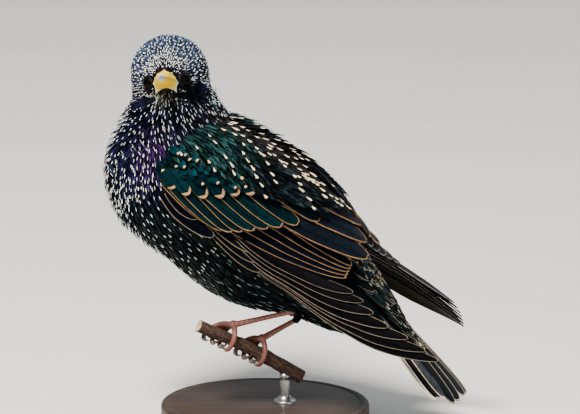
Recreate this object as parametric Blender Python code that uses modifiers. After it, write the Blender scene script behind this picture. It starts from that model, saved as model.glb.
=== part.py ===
"""A life-size starling that stands on a cut twig and turns its head to the viewer.

The twig is held by a rod on a round base. Sizes are in millimetres and angles in degrees;
MM turns millimetres into metres. +Z is up, the bird heads for -X, and the origin is at the
middle of the base's underside.
"""

import math

import bmesh
import bpy
import numpy as np
from mathutils import Matrix, Vector

MM = 0.001
GAP = 0.3  # kept between neighbouring nodes
SHARP_ANGLE = 35.0  # edges sharper than this are not shaded smooth

# How the parts are turned and where they sit: (heading, pitch, roll), place
BODY_TURN, BODY_AT = (170.1, 38.97, -8.5), (-7.9, -1.2, 82.6)
HEAD_TURN, HEAD_AT = (-94.1, 13.1, 5.0), (-38.8, 10.2, 136.2)
NECK_LEAN_SIDE, NECK_LEAN_BACK, NECK_AT = 8.0, 12.0, (-34.0, 8.3, 113.1)

# Body
TORSO_START, NECK_START, HEAD_START = 0.13, 0.60, 0.735  # shares of the way from tail to crown
REAR_DOME, CROWN_DOME = 0.06, 0.86  # where the two rounded ends begin and stop
BLEND = 2.6  # how softly the masses of the body run together

# Wings and tail
WRIST_X = 34.6  # the folded wing's front, along the body
VANE_THICK, LAYER_STEP = 0.5, 0.85
TAIL_LENGTH = 52.0
TAIL_ROOT, TAIL_DROP, TAIL_SWING = (-58.0, 10.4), 8.5, 6.0  # its root on the body, and how it hangs

# Head
EYE_RADIUS, EYE_AT, EYE_FACING = 3.8, (4.9, 5.8, 0.7), (0.62, 0.78, 0.05)
LID_OPENING, LID_THICK = 3.0, 0.5
BILL_LENGTH, BILL_BASE_X, MOUTH_Z = 25.0, 12.5, 1.5

# Legs, twig and stand
LEG_RADII = (1.5, 1.25, 1.2, 1.4, 1.9, 2.8, 3.6, 4.2)  # from the foot up into the plumage
TOE_RADIUS = 1.15
CLAW_LENGTH, CLAW_RADII = 6.0, (0.85, 0.8, 0.68, 0.5, 0.3, 0.1)
PALM_RADIUS, PALM_RISE = 1.9, 1.6
TWIG_RADIUS = 2.5
FOOT_SEAT = TWIG_RADIUS * 1.12 + GAP  # how far the feet stay off the twig's middle
TWIG_LEFT, TWIG_RIGHT = (-26.5, -10.1, 41.8), (14.5, 1.6, 18.0)
BASE_RADIUS, BASE_THICK, ROD_RADIUS, ROD_SHARE = 42.0, 8.0, 2.0, 0.84


def turned(heading, pitch, roll):
    """A rotation whose +X points along the heading, raised by the pitch and rolled about itself."""
    turn = Matrix.Rotation(math.radians(heading), 3, "Z")
    turn = turn @ Matrix.Rotation(math.radians(-pitch), 3, "Y")
    return np.array(turn @ Matrix.Rotation(math.radians(roll), 3, "X"))


def neck_turn():
    lean = Matrix.Rotation(math.radians(-NECK_LEAN_BACK), 3, "X")
    return np.array(lean @ Matrix.Rotation(math.radians(-NECK_LEAN_SIDE), 3, "Y"))


FRAMES = {
    "body": (turned(*BODY_TURN), np.array(BODY_AT)),
    "head": (turned(*HEAD_TURN), np.array(HEAD_AT)),
    "neck": (neck_turn(), np.array(NECK_AT)),
}

# The masses of the plumage: frame, middle, half-sizes, nose-up tilt
MASSES = (
    ("body", (4, 0, -2), (45, 24, 30.5), 0),  # belly
    ("body", (31, 0, -2.5), (31, 25, 28.5), 14),  # breast
    ("body", (-12, 0, 12), (38, 16, 19), 8),  # back
    ("body", (-46, 0, 10), (32, 12.5, 11), 17),  # rump
    ("body", (-37, 0, -2), (29, 12.5, 14), -10),  # vent
    ("neck", (0, 0, 0), (20.5, 20, 27), 0),
    ("head", (-10.5, 0, 5.5), (13, 15.4, 15), 0),  # cranium
    ("head", (0, 0, 2.2), (10.5, 4.4, 9.4), 0),  # brow
    ("head", (7.5, 0, 1.9), (6, 3.4, 4.2), 0),  # face
    ("head", (-10, 0, -9), (13.5, 14, 13), 0),  # throat and nape
)
# What carries the wing past the rump, for the left wing; the right one hangs a little wider
WING_CARRIER = ((-62, 4, 5), (58, 15.5, 16), -2)
RIGHT_WING_OUT = 5.0

SPINE = (
    ("body", (-66, 0, 5)),
    ("body", (-50, 0, 4)),
    ("body", (-25, 0, 1)),
    ("body", (0, 0, 0)),
    ("body", (22, 0, 1)),
    ("neck", (3, 0, -8)),
    ("neck", (-2, 0, 10)),
    ("head", (-3, 0, -3)),
    ("head", (-3, 0, 5)),
)


def place(points, frame):
    turn, at = FRAMES[frame]
    return np.asarray(points, float) @ turn.T + at


def bearing(frame, direction):
    return FRAMES[frame][0] @ np.asarray(direction, float)


def ellipsoid_distance(points, middle, half_sizes, tilt):
    """About how far each point is outside the ellipsoid; negative inside."""
    turn = np.array(Matrix.Rotation(math.radians(-tilt), 3, "Y"))
    local = (points - np.array(middle, float)) @ turn
    sizes = np.array(half_sizes, float)
    near = np.linalg.norm(local / sizes, axis=-1) + 1e-9
    slope = np.linalg.norm(local / sizes**2, axis=-1) + 1e-9
    return near * (near - 1) / slope


def blended(distances):
    """One smooth distance from several: their soft minimum."""
    stacked = np.stack([np.clip(d, -60, 200) for d in distances])
    return -BLEND * np.log(np.exp(-stacked / BLEND).sum(axis=0) + 1e-80)


def body_distance(points):
    """How far each world point is outside the plumage."""
    found = []
    for frame, middle, sizes, tilt in MASSES:
        turn, at = FRAMES[frame]
        found.append(ellipsoid_distance((points - at) @ turn, middle, sizes, tilt))
    return blended(found)


def walk_out(starts, directions, distance, reach):
    """Walks along each ray from inside until the distance equals reach."""
    way = np.full(directions.shape[:-1], 2.0)
    for _ in range(60):
        points = starts + directions * way[..., None]
        way = way - 0.8 * (distance(points) - reach)
    return starts + directions * way[..., None]


def along_spline(points, share):
    """Points on a Catmull-Rom spline through the given ones, at shares from 0 to 1 of the way."""
    ends = np.vstack([2 * points[0] - points[1], points, 2 * points[-1] - points[-2]])
    place_on = np.clip(share, 0, 1) * (len(points) - 1)
    first = np.clip(place_on.astype(int), 0, len(points) - 2)
    t = (place_on - first)[..., None]
    a, b, c, d = (ends[first + i] for i in range(4))
    return 0.5 * (2 * b + (c - a) * t + (2 * a - 5 * b + 4 * c - d) * t**2 + (3 * b - a - 3 * c + d) * t**3)


def skin_rings(shares, sides, out=0.0, shift=0.0):
    """Rings of points round the bird at shares of the way from tail to crown, out mm outside it.

    Each ring is found along rays from the spine. Past the domes the rays tip over, so that they
    close the rump and the crown. shift moves the rings along the spine.
    """
    shares = np.asarray(shares, float)
    knots = np.array([place(point, frame) for frame, point in SPINE])
    on_spine = np.clip((shares - REAR_DOME) / (CROWN_DOME - REAR_DOME), 0, 1)
    middle = along_spline(knots, on_spine)
    ahead = along_spline(knots, np.clip(on_spine + 0.002, 0, 1))
    ahead = ahead - along_spline(knots, np.clip(on_spine - 0.002, 0, 1))
    ahead /= np.linalg.norm(ahead, axis=1)[:, None]
    middle = middle + ahead * shift
    viewer = bearing("neck", (0, -1, 0))
    near = viewer - (ahead @ viewer)[:, None] * ahead
    near /= np.linalg.norm(near, axis=1)[:, None]
    across = np.cross(ahead, near)
    tip_up = np.clip((shares - CROWN_DOME) / (1 - CROWN_DOME), 0, 1)
    tip_up = (tip_up - np.clip(1 - shares / REAR_DOME, 0, 1)) * math.pi / 2 * 0.97
    turn = np.linspace(0, 2 * math.pi, sides, endpoint=False)
    flat = near[:, None] * np.cos(turn)[None, :, None] + across[:, None] * np.sin(turn)[None, :, None]
    rays = flat * np.cos(tip_up)[:, None, None] + ahead[:, None] * np.sin(tip_up)[:, None, None]
    return walk_out(middle[:, None], rays, body_distance, out)


def material(name, colour, roughness, metallic=0.0):
    made = bpy.data.materials.new(name)
    made.use_nodes = True
    shader = made.node_tree.nodes["Principled BSDF"]
    shader.inputs["Base Color"].default_value = (*colour, 1)
    shader.inputs["Roughness"].default_value = roughness
    shader.inputs["Metallic"].default_value = metallic
    return made


def add_object(name, mesh, look, collection):
    made = bpy.data.objects.new(name, mesh)
    collection.objects.link(made)
    if look:
        mesh.materials.append(look)
    return made


def mesh_from(name, points, faces):
    """A mesh from points in millimetres, with its faces turned outwards."""
    mesh = bpy.data.meshes.new(name)
    mesh.from_pydata([tuple(p) for p in np.asarray(points) * MM], [], [tuple(f) for f in faces])
    shape = bmesh.new()
    shape.from_mesh(mesh)
    bmesh.ops.recalc_face_normals(shape, faces=shape.faces)
    shape.to_mesh(mesh)
    shape.free()
    return mesh


def ring_solid(name, rings, look, collection):
    """A closed solid through rings of points, its two ends closed by fans."""
    count, sides = rings.shape[:2]
    points = list(rings.reshape(-1, 3)) + [rings[0].mean(0), rings[-1].mean(0)]
    faces = []
    for side in range(sides):
        after = (side + 1) % sides
        for ring in range(count - 1):
            low, high = ring * sides, (ring + 1) * sides
            faces.append((low + side, low + after, high + after))
            faces.append((low + side, high + after, high + side))
        last = (count - 1) * sides
        faces.append((count * sides, after, side))
        faces.append((count * sides + 1, last + side, last + after))
    return add_object(name, mesh_from(name, points, faces), look, collection)


def vane(name, lead_top, trail_top, lead_low, trail_low, collection):
    """A thin feather between four rows of points, split alike on both faces."""
    count = len(lead_top)
    points = np.concatenate([lead_top, trail_top, trail_low, lead_low])
    rows = [np.arange(count) + count * row for row in range(4)]
    top_lead, top_trail, low_trail, low_lead = rows
    faces = []
    for i in range(count - 1):
        for lead, trail in ((top_lead, top_trail), (low_lead, low_trail)):
            faces += [(lead[i], trail[i], trail[i + 1]), (lead[i], trail[i + 1], lead[i + 1])]
        for one, other in ((top_lead, low_lead), (top_trail, low_trail)):
            faces += [(one[i], one[i + 1], other[i + 1]), (one[i], other[i + 1], other[i])]
    for i in (0, count - 1):
        faces += [(top_lead[i], top_trail[i], low_trail[i]), (top_lead[i], low_trail[i], low_lead[i])]
    return add_object(name, mesh_from(name, points, faces), None, collection)


def tube(name, points, radii, look, collection, sides=2):
    """A round rod along points, each with its own radius: a bevelled curve turned into a mesh."""
    curve = bpy.data.curves.new(name, "CURVE")
    curve.dimensions = "3D"
    curve.bevel_depth = MM
    curve.bevel_resolution = sides
    curve.use_fill_caps = True
    spline = curve.splines.new("POLY")
    spline.points.add(len(points) - 1)
    for knot, point, radius in zip(spline.points, points, radii):
        knot.co = (*(np.asarray(point) * MM), 1)
        knot.radius = radius
    guide = bpy.data.objects.new(name, curve)
    collection.objects.link(guide)
    bpy.context.view_layer.update()
    mesh = bpy.data.meshes.new_from_object(guide.evaluated_get(bpy.context.evaluated_depsgraph_get()))
    shape = bmesh.new()
    shape.from_mesh(mesh)
    bmesh.ops.remove_doubles(shape, verts=shape.verts, dist=1e-6)
    bmesh.ops.triangulate(shape, faces=shape.faces)
    bmesh.ops.recalc_face_normals(shape, faces=shape.faces)
    shape.to_mesh(mesh)
    shape.free()
    mesh.materials.clear()
    bpy.data.objects.remove(guide)
    return add_object(name, mesh, look, collection)


def apply_modifiers(solid):
    bpy.context.view_layer.update()
    made = bpy.data.meshes.new_from_object(solid.evaluated_get(bpy.context.evaluated_depsgraph_get()))
    solid.modifiers.clear()
    solid.data = made


def keep_largest(solid):
    """Drops every closed surface but the largest."""
    shape = bmesh.new()
    shape.from_mesh(solid.data)
    shape.verts.ensure_lookup_table()
    left, islands = set(shape.verts), []
    while left:
        island, edge_of = set(), [left.pop()]
        while edge_of:
            vert = edge_of.pop()
            island.add(vert)
            fresh = {edge.other_vert(vert) for edge in vert.link_edges} & left
            left -= fresh
            edge_of += fresh
        islands.append(island)
    spans = [len(island) for island in islands]
    for number, island in enumerate(islands):
        if number != spans.index(max(spans)):
            bmesh.ops.delete(shape, geom=list(island), context="VERTS")
    shape.to_mesh(solid.data)
    shape.free()


def join(solid, pieces, solver="MANIFOLD"):
    """Joins closed pieces to the solid with one Boolean union, and removes them."""
    group = bpy.data.collections.new(solid.name + "_pieces")
    bpy.context.scene.collection.children.link(group)
    for piece in pieces:
        for old in piece.users_collection:
            old.objects.unlink(piece)
        group.objects.link(piece)
    union = solid.modifiers.new("join", "BOOLEAN")
    union.operation = "UNION"
    union.operand_type = "COLLECTION"
    union.collection = group
    union.solver = solver
    apply_modifiers(solid)
    for piece in pieces:
        bpy.data.objects.remove(piece)
    bpy.data.collections.remove(group)
    keep_largest(solid)


def cut(solid, cutters, solver="EXACT"):
    for cutter in cutters:
        removal = solid.modifiers.new("cut", "BOOLEAN")
        removal.solver = solver
        removal.operation = "DIFFERENCE"
        removal.object = cutter
    apply_modifiers(solid)
    keep_largest(solid)


def take(name, look, collection):
    """Names the object just added, and puts it in the collection."""
    made = bpy.context.object
    made.name = made.data.name = name
    for old in made.users_collection:
        old.objects.unlink(made)
    collection.objects.link(made)
    if look:
        made.data.materials.append(look)
    return made


def ball(name, middle, radius, look, collection, segments, rings):
    bpy.ops.mesh.primitive_uv_sphere_add(
        segments=segments, ring_count=rings, radius=radius * MM, location=Vector(middle) * MM
    )
    return take(name, look, collection)


# Torso, neck and head


# The trunk's lengths: first and last share, and the rings in each
LENGTHS = {
    "tail": (0.0, TORSO_START, 6),
    "torso": (TORSO_START, NECK_START, 20),
    "neck": (NECK_START, HEAD_START, 7),
    "head": (HEAD_START, 1.0, 14),
}
TRUNK_SIDES = 34


def trunk_part(name, look, collection):
    """One length of the trunk; where it meets the next it stops half a gap short of the cut."""
    start, stop, rows = LENGTHS[name]
    shares = np.linspace(start, stop, rows)
    rings = skin_rings(shares, TRUNK_SIDES)
    for row, way, meets in ((0, 1, start > 0), (-1, -1, stop < 1)):
        if meets:
            rings[row] = skin_rings(shares[[row]], TRUNK_SIDES, shift=way * GAP / 2)[0]
    return ring_solid(name, rings, look, collection)


def trunk_room(collection):
    """The trunk a gap larger all round, up to the ears, to cut the wings and legs along."""
    shares = np.concatenate([np.linspace(*LENGTHS[name])[(name == "tail"):-1] for name in LENGTHS])
    return ring_solid("trunk_room", skin_rings(shares[:-9], TRUNK_SIDES, GAP), None, collection)


def head_point(x, y, z):
    return place((x, y, z), "head")


def bill_profile(share):
    """Half-width, height over the mouth line and depth under it, from the root (0) to the tip (1)."""
    taper = 1 - share
    half_width = 0.55 + 4.6 * taper**1.3
    height = 0.45 + 5.0 * taper**1.35
    depth = 0.4 + 3.0 * taper**1.1
    return half_width, height, depth


def bill_half(name, upper, grow, look, collection, back=2.6):
    """One half of the bill: arched rings with a flat side at the mouth line, drawn out to the tip."""
    rings = []
    for share in (0, 0.12, 0.26, 0.42, 0.58, 0.74, 0.88, 0.97, 1):
        along = BILL_BASE_X - back - grow + share * (BILL_LENGTH + back)
        half_width, height, depth = bill_profile(share)
        blunt = 1 if share < 0.97 else 0.55
        if share == 1:
            blunt = 0.2
        droop = -1.0 * (1 - share) ** 2
        tall = (height if upper else depth) * blunt + 2 * grow
        ring = []
        for step in range(12):
            turn = math.pi * step / 11
            side = math.cos(turn) * (half_width * blunt + grow)
            rise = math.sin(turn) ** (1.2 if upper else 0.85) * tall + GAP / 2 - grow
            ring.append((along, side, MOUTH_Z + droop + (rise if upper else -rise)))
        rings.append(place(ring, "head"))
    return ring_solid(name, np.array(rings), look, collection)


def nostril_cutters(collection):
    spots = [head_point(BILL_BASE_X + 3.2, side * 3.1, MOUTH_Z + 1.9) for side in (-1, 1)]
    return [ball("nostril", spot, 0.7, None, collection, 8, 6) for spot in spots]


def eye_axis(side):
    forward, out, up = EYE_FACING
    return bearing("head", (forward, side * out, up))


def eye_middle(side):
    return head_point(EYE_AT[0], side * EYE_AT[1], EYE_AT[2])


def eye_opening(side, collection):
    """A short cylinder along the eye's axis: the gap between the lids."""
    depth = 2 * EYE_RADIUS
    bpy.ops.mesh.primitive_cylinder_add(vertices=18, radius=LID_OPENING * MM, depth=depth * MM)
    opening = take("lid_opening", None, collection)
    opening.location = Vector(eye_middle(side) + eye_axis(side) * depth / 2) * MM
    opening.rotation_euler = Vector(eye_axis(side)).to_track_quat("Z", "Y").to_euler()
    return opening


def build_head(looks, parts, cutters):
    head = trunk_part("head", looks["plumage"], parts)
    lid_radius = EYE_RADIUS + GAP + LID_THICK
    lids = [ball("lid", eye_middle(side), lid_radius, None, parts, 16, 12) for side in (-1, 1)]
    join(head, lids)
    sockets = [ball("socket", eye_middle(side), EYE_RADIUS + GAP, None, cutters, 16, 10) for side in (-1, 1)]
    openings = [eye_opening(side, cutters) for side in (-1, 1)]
    bill_rooms = [bill_half("bill_room", upper, GAP, None, cutters) for upper in (True, False)]
    cut(head, sockets + openings + bill_rooms)
    for side, name in ((1, "eye_left"), (-1, "eye_right")):
        ball(name, eye_middle(side), EYE_RADIUS, looks["eye"], parts, 14, 8)
    upper = bill_half("bill_upper", True, 0, looks["bill"], parts)
    cut(upper, nostril_cutters(cutters))
    bill_half("bill_lower", False, 0, looks["bill"], parts)


# Wings: everything is laid out on a sheet round the body, s mm behind the wrist and t mm up it


def wing_distance(points, side):
    """How far points of the body frame are outside the torso and what carries this wing."""
    found = [
        ellipsoid_distance(points, middle, sizes, tilt)
        for frame, middle, sizes, tilt in MASSES
        if frame == "body"
    ]
    middle, sizes, tilt = WING_CARRIER
    out = side * (middle[1] + (RIGHT_WING_OUT if side < 0 else 0))
    found.append(ellipsoid_distance(points, (middle[0], out, middle[2]), sizes, tilt))
    return blended(found)


SHEET_S, SHEET_RADIUS = (0, 35, 60, 85, 105, 129), (26, 29, 28, 23.5, 20, 18)
SHEET_START, SHEET_RISE = 5.0, 0.206  # degrees round the body at the wrist, and more for each mm behind it


def wing_sheet(s, t, depth, side):
    """World points of the wing's sheet, depth mm outside the torso."""
    s, t, depth = np.broadcast_arrays(*(np.asarray(v, float) for v in (s, t, depth)))
    x = WRIST_X - s
    middle = np.stack([x, 0 * x, np.interp(x, (-110, -60, -20, 40), (5, 5, 1, -1))], -1)
    turn = np.radians(SHEET_START + SHEET_RISE * s) + t / np.interp(s, SHEET_S, SHEET_RADIUS)
    rays = np.stack([0 * x, side * np.cos(turn), np.sin(turn)], -1)
    found = walk_out(middle, rays, lambda points: wing_distance(points, side), depth)
    return place(found, "body")


def between(first, last, count):
    return [np.array(first, float) + (np.array(last, float) - first) * i / (count - 1) for i in range(count)]


def tier_rows(roots, tips, bows):
    """Each feather's root and tip as (s, t), and how far its middle bows up."""
    starts = between(*roots, len(bows))
    return [(root, np.array(tip, float), bow) for root, tip, bow in zip(starts, tips, bows)]


PRIMARY_TIPS = ((129, 0.0), (122.6, 0.1), (114.1, 0.0), (105.1, -0.8), (97.1, 0.0), (91.1, 1.8), (85.6, 3.0))
PRIMARY_BOWS = (-9.6, -9.0, -8.0, -7.0, -6.0, -5.2, -4.4)
SECONDARY_TIPS = between((79.8, 8.0), (78.3, 14.6), 5)
SECONDARY_BOWS = (-2.4, -1.6, -0.8, 0, 0.8)
TERTIAL_TIPS = ((81.6, 20.0), (77, 27.5), (71, 34))
GREATER_TIPS = (
    (29.6, -2.5), (35, 0.6), (39.8, 4.2), (44.1, 8.7), (48, 13), (51.4, 17.3), (53.9, 21.6), (55.2, 26)
)
MEDIAN_TIPS = ((10.6, 3.3), (17.5, 6.6), (23.5, 10.6), (29, 14.2), (35, 17.4), (41.5, 20.4), (48.5, 23.0))

# The wing's tiers from below, on the left wing: their feathers' rows, width, the spacing at s 30 and
# 80, the line of the lowest feather's lower edge at s 0, 65 and 130, the depth of their outer faces,
# and whether they are long
TIERS = {
    "primary": {
        "rows": tier_rows(((27, -2.5), (25, 3)), PRIMARY_TIPS, PRIMARY_BOWS),
        "width": 5.6, "spacing": (1.6, 2.0), "edge": (-5, -11.5, -2), "depth": 3.7, "long": True,
    },
    "secondary": {
        "rows": tier_rows(((20, 1), (30, 14)), SECONDARY_TIPS, SECONDARY_BOWS),
        "width": 5.6, "spacing": (2.6, 1.7), "edge": (-1, -0.5, 6), "depth": 4.5, "long": True,
    },
    "primary_covert": {
        "rows": tier_rows(((22, -3.5), (20, -0.5)), between((52, -9), (45, -2.8), 3), (-1, -1, -1)),
        "width": 4.4, "spacing": (2.0, 2.4), "edge": (-5.5, -9, -12), "depth": 4.7, "long": False,
    },
    "tertial": {
        "rows": tier_rows(((30, 14), (34, 26)), TERTIAL_TIPS, (0, 0, 0)),
        "width": 10.5, "spacing": (5.5, 6.2), "edge": (10, 13, 16), "depth": 5.3, "long": True,
    },
    "alula": {
        "rows": tier_rows(((5, -0.2), (6, 2)), between((27, -4.4), (20, -0.8), 2), (-0.6, -0.6)),
        "width": 3.8, "spacing": (2.2, 2.2), "edge": (-2, -6, -9), "depth": 5.6, "long": False,
    },
    "greater_covert": {
        "rows": tier_rows(((7, 1), (34, 27)), GREATER_TIPS, (-0.6,) * 8),
        "width": 6.2, "spacing": (3.6, 3.7), "edge": (-1.5, -5, -5), "depth": 6.4, "long": False,
    },
    "median_covert": {
        "rows": tier_rows(((1, 5), (32, 26)), MEDIAN_TIPS, (0,) * 7),
        "width": 6.2, "spacing": (3.6, 3.6), "edge": (0, -1, -2), "depth": 7.3, "long": False,
    },
}
LONG_STATIONS = np.array((0, 0.3, 0.6, 0.85, 0.965, 1))
SHORT_STATIONS = np.array((0, 0.45, 0.9, 1))
SINK_SHARE, SINK_DEPTH = 0.3, 2.4  # how much of a feather dips to its root, and by how much
MIDLINE = {1: 94.0, -1: 84.0}  # how far round the back each wing reaches, in degrees


def back_limit(s, side):
    """The largest t before the feathers of the other wing."""
    radius = np.interp(s, SHEET_S, SHEET_RADIUS)
    return np.radians(MIDLINE[side] - SHEET_START - SHEET_RISE * s) * radius


def feather_edges(root, tip, bow, width, stations):
    """Lower and upper edge of a feather on the sheet: it widens from its root and has a round tip."""
    middle = np.outer(1 - stations, root) + np.outer(stations, tip)
    middle[:, 1] += bow * 4 * stations * (1 - stations)
    half = width / 2 * (0.6 + 0.4 * stations) * (1 - stations**9) ** 0.5
    half = np.maximum(half, 0.15)
    return middle - np.outer(half, (0, 1)), middle + np.outer(half, (0, 1))


def wing_vane(tier, number, side, collection):
    """One feather of a tier, a layer above the feather below it and sloping under the next."""
    root, tip, bow = tier["rows"][number]
    stations = LONG_STATIONS if tier["long"] else SHORT_STATIONS
    dip = SINK_DEPTH * np.clip(1 - stations / SINK_SHARE, 0, 1) ** 2
    rows = []
    for s, t in (edge.T for edge in feather_edges(root, tip, bow, tier["width"], stations)):
        t = np.minimum(t, back_limit(s, side))
        line = np.interp(s, (0, 65, 130), tier["edge"])
        spacing = np.interp(s, (30, 80), tier["spacing"])
        outer = tier["depth"] + LAYER_STEP * (number - (t - line) / spacing) - dip
        outer = np.maximum(outer, VANE_THICK + 2 * GAP)
        rows.append((wing_sheet(s, t, outer, side), wing_sheet(s, t, outer - VANE_THICK, side)))
    (lower_top, lower_low), (upper_top, upper_low) = rows
    return vane("vane", lower_top, upper_top, lower_low, upper_low, collection)


def pillow(name, middle, half_sizes, lean, thick, side, look, collection):
    """A rounded pad on the sheet that starts under the torso's surface, to be cut along it."""
    count, rim, start = 6, 18, -1.5
    rows = []
    for ring in range(count):
        turn = math.pi / 2 * ring / (count - 1)
        row = []
        for step in range(rim):
            around = 2 * math.pi * step / rim
            reach = max(math.cos(turn), 0.001) ** 0.6
            along = math.cos(around) * reach * half_sizes[0]
            up = math.sin(around) * reach * half_sizes[1] + lean * along
            row.append((middle[0] + along, middle[1] + up, start + (thick - start) * math.sin(turn)))
        rows.append(row)
    s, t, depth = np.moveaxis(np.array(rows), -1, 0)
    t = np.minimum(t, back_limit(s, side))
    return ring_solid(name, wing_sheet(s, t, depth, side), look, collection)


def build_wing(name, side, looks, parts, room):
    wing = pillow(name, (21, 11), (22, 12), 0.22, 6.1, side, looks["flight"], parts)
    shoulder = pillow("scapulars", (30, 23), (31, 10), 0.12, 5.2, side, None, parts)
    feathers = [wing_vane(tier, n, side, parts) for tier in TIERS.values() for n in range(len(tier["rows"]))]
    join(wing, [shoulder] + feathers)
    cut(wing, [room], "MANIFOLD")


# Tail


def tail_sheet(back, out, rise):
    """World points of the tail: back mm from its root, out mm from its middle, rise mm above it."""
    back, out, rise = np.broadcast_arrays(*(np.asarray(v, float) for v in (back, out, rise)))
    drop, swing = math.radians(TAIL_DROP), math.radians(TAIL_SWING)
    x = TAIL_ROOT[0] - back * math.cos(drop) * math.cos(swing) + rise * math.sin(drop) + out * math.sin(swing)
    y = back * math.sin(swing) + out * math.cos(swing)
    z = TAIL_ROOT[1] - back * math.sin(drop) + (rise - out**2 / 90) * math.cos(drop)
    return place(np.stack([x, y, z], -1), "body")


def tail_feather(number, side, collection):
    """One rectrix; number 0 is the central one, and each lies under the one inside it."""
    stations = np.array((0, 0.3, 0.6, 0.86, 0.965, 1))
    back = stations * (TAIL_LENGTH - (1.5 if number == 0 else 0.3 * number))
    spacing = 0.9 + 1.25 * stations
    half = (2.0 + 2.3 * stations) * (1 - stations**9) ** 0.5 + 0.15
    middle = 0.15 + (2.0 + 1.6 * stations) + number * spacing
    rows = []
    for out in (np.maximum(middle - half, GAP / 2), middle + half):
        rise = LAYER_STEP * ((out - 3) / spacing - number)
        rows.append((tail_sheet(back, side * out, rise), tail_sheet(back, side * out, rise - VANE_THICK)))
    (inner_top, inner_low), (outer_top, outer_low) = rows
    return vane("rectrix", inner_top, outer_top, inner_low, outer_low, collection)


def build_tail(looks, parts):
    tail = trunk_part("tail", looks["plumage"], parts)
    feathers = [tail_feather(number, side, parts) for number in range(6) for side in (1, -1)]
    join(tail, feathers)


# Legs and feet


def twig_point(share):
    """A point of the twig's middle, which bows up a little."""
    bow = np.array((0, 0.6, 1.0)) * math.sin(math.pi * share)
    return np.array(TWIG_LEFT) * (1 - share) + np.array(TWIG_RIGHT) * share + bow


def twig_axes():
    """The twig's direction towards its left end, the way up from it, and the way to its far side."""
    along = np.array(TWIG_LEFT) - np.array(TWIG_RIGHT)
    along /= np.linalg.norm(along)
    up = np.array((0, 0, 1.0)) - along[2] * along
    up /= np.linalg.norm(up)
    return along, up, np.cross(along, up)


def grip_path(share, forward, turn_to, steps=9):
    """A toe's path: off the foot's joint and round the twig, forward mm along it, by turn_to degrees."""
    along, up, far = twig_axes()
    points = []
    for step in range(steps):
        way = step / (steps - 1)
        turn = math.radians(turn_to) * max(0, way - 0.08) / 0.92
        away = FOOT_SEAT + TOE_RADIUS + 1.4 * (1 - way) ** 3
        slide = along * forward * math.sin(way * math.pi / 2)
        points.append(twig_point(share) + slide + away * (math.cos(turn) * up + math.sin(turn) * far))
    return np.array(points)


# Each foot: its share of the way along the twig, the ankle, and its toes as (forward, turn)
FEET = {
    "left": {
        "share": 0.27, "ankle": (14.2, -12.5, 49.0), "toes": ((8.5, 185), (4.5, 205), (0.8, 210), (-2.2, -175))
    },
    "right": {
        "share": 0.55, "ankle": (20.5, 5.6, 45.4), "toes": ((7.0, 185), (3.2, 205), (-0.5, 205), (-3.5, -170))
    },
}


def claw_points(path):
    """The claw goes on from the toe's tip, curling in round the twig."""
    ahead = path[-1] - path[-2]
    ahead /= np.linalg.norm(ahead)
    bend = path[-1] - 2 * path[-2] + path[-3]
    bend -= ahead * (bend @ ahead)
    bend /= np.linalg.norm(bend)
    start = path[-1] + ahead * (GAP + 0.05)
    points, heading = [start], ahead
    for _ in CLAW_RADII[1:]:
        points.append(points[-1] + heading * CLAW_LENGTH / (len(CLAW_RADII) - 1))
        heading = heading * math.cos(0.2) + bend * math.sin(0.2) * 0.6
        heading /= np.linalg.norm(heading)
    return points


def build_foot(side_name, looks, parts, cutters, room):
    foot = FEET[side_name]
    along, up, _ = twig_axes()
    joint = twig_point(foot["share"]) + up * (FOOT_SEAT + TOE_RADIUS + PALM_RISE)
    ankle = np.array(foot["ankle"])
    thigh_end = ankle + (ankle - joint) * 0.12 + np.array((0, 0, 7.0))
    shin = [joint + (ankle - joint) * way for way in (0.06, 0.3, 0.6, 0.88, 1.0)]
    thigh = [ankle + (thigh_end - ankle) * way for way in (0.35, 0.7, 1.0)]
    leg = tube("leg_" + side_name, shin + thigh, LEG_RADII, looks["leg"], parts)
    cut(leg, [room])
    palm = ball("foot_" + side_name, joint, PALM_RADIUS, looks["leg"], parts, 14, 8)
    shin_room = tube("shin_room", shin[:2], [LEG_RADII[0] + GAP] * 2, None, cutters)
    toes = []
    for number, (forward, turn) in enumerate(foot["toes"]):
        path = grip_path(foot["share"], forward, turn)
        pads = [TOE_RADIUS * (1.08 - 0.18 * way / 8 + 0.1 * math.cos(way * 2.1)) for way in range(9)]
        toes.append(tube("toe", path, pads, None, parts, 1))
        claw_name = f"claw_{side_name}_{number + 1}"
        tube(claw_name, claw_points(path), CLAW_RADII, looks["claw"], parts, 1)
    join(palm, toes)
    cut(palm, [shin_room])


def twig_tube(name, out, look, collection):
    """The twig, out mm thicker all round; it swells at a bud scar near its right end."""
    swell = (1.0, 0.97, 0.94, 0.98, 0.95, 0.97, 1.0, 0.98, 1.05, 1.22, 1.08, 1.1, 1.12, 1.13, 1.14)
    points = [twig_point(share) for share in np.linspace(0, 1, len(swell))]
    return tube(name, points, [TWIG_RADIUS * value + out for value in swell], look, collection, 3)


def build_stand(looks, parts, cutters):
    bpy.ops.mesh.primitive_cylinder_add(
        vertices=44, radius=BASE_RADIUS * MM, depth=BASE_THICK * MM, location=(0, 0, BASE_THICK / 2 * MM)
    )
    base = take("stand_base", looks["stand"], parts)
    edge = base.modifiers.new("edge", "BEVEL")
    edge.width = 1.2 * MM
    edge.segments = 1
    x, y, high = twig_point(ROD_SHARE)
    low = BASE_THICK + GAP
    middle = Vector((x, y, (high + low) / 2)) * MM
    bpy.ops.mesh.primitive_cylinder_add(
        vertices=20, radius=ROD_RADIUS * MM, depth=(high - low) * MM, location=middle
    )
    rod = take("stand_rod", looks["rod"], parts)
    cut(rod, [twig_tube("twig_room", GAP, None, cutters)])


def shade(parts):
    """Smooth over round shapes and sharp at edges."""
    for piece in parts.objects:
        piece.data.shade_smooth()
        piece.data.set_sharp_from_angle(angle=math.radians(SHARP_ANGLE))


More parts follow.
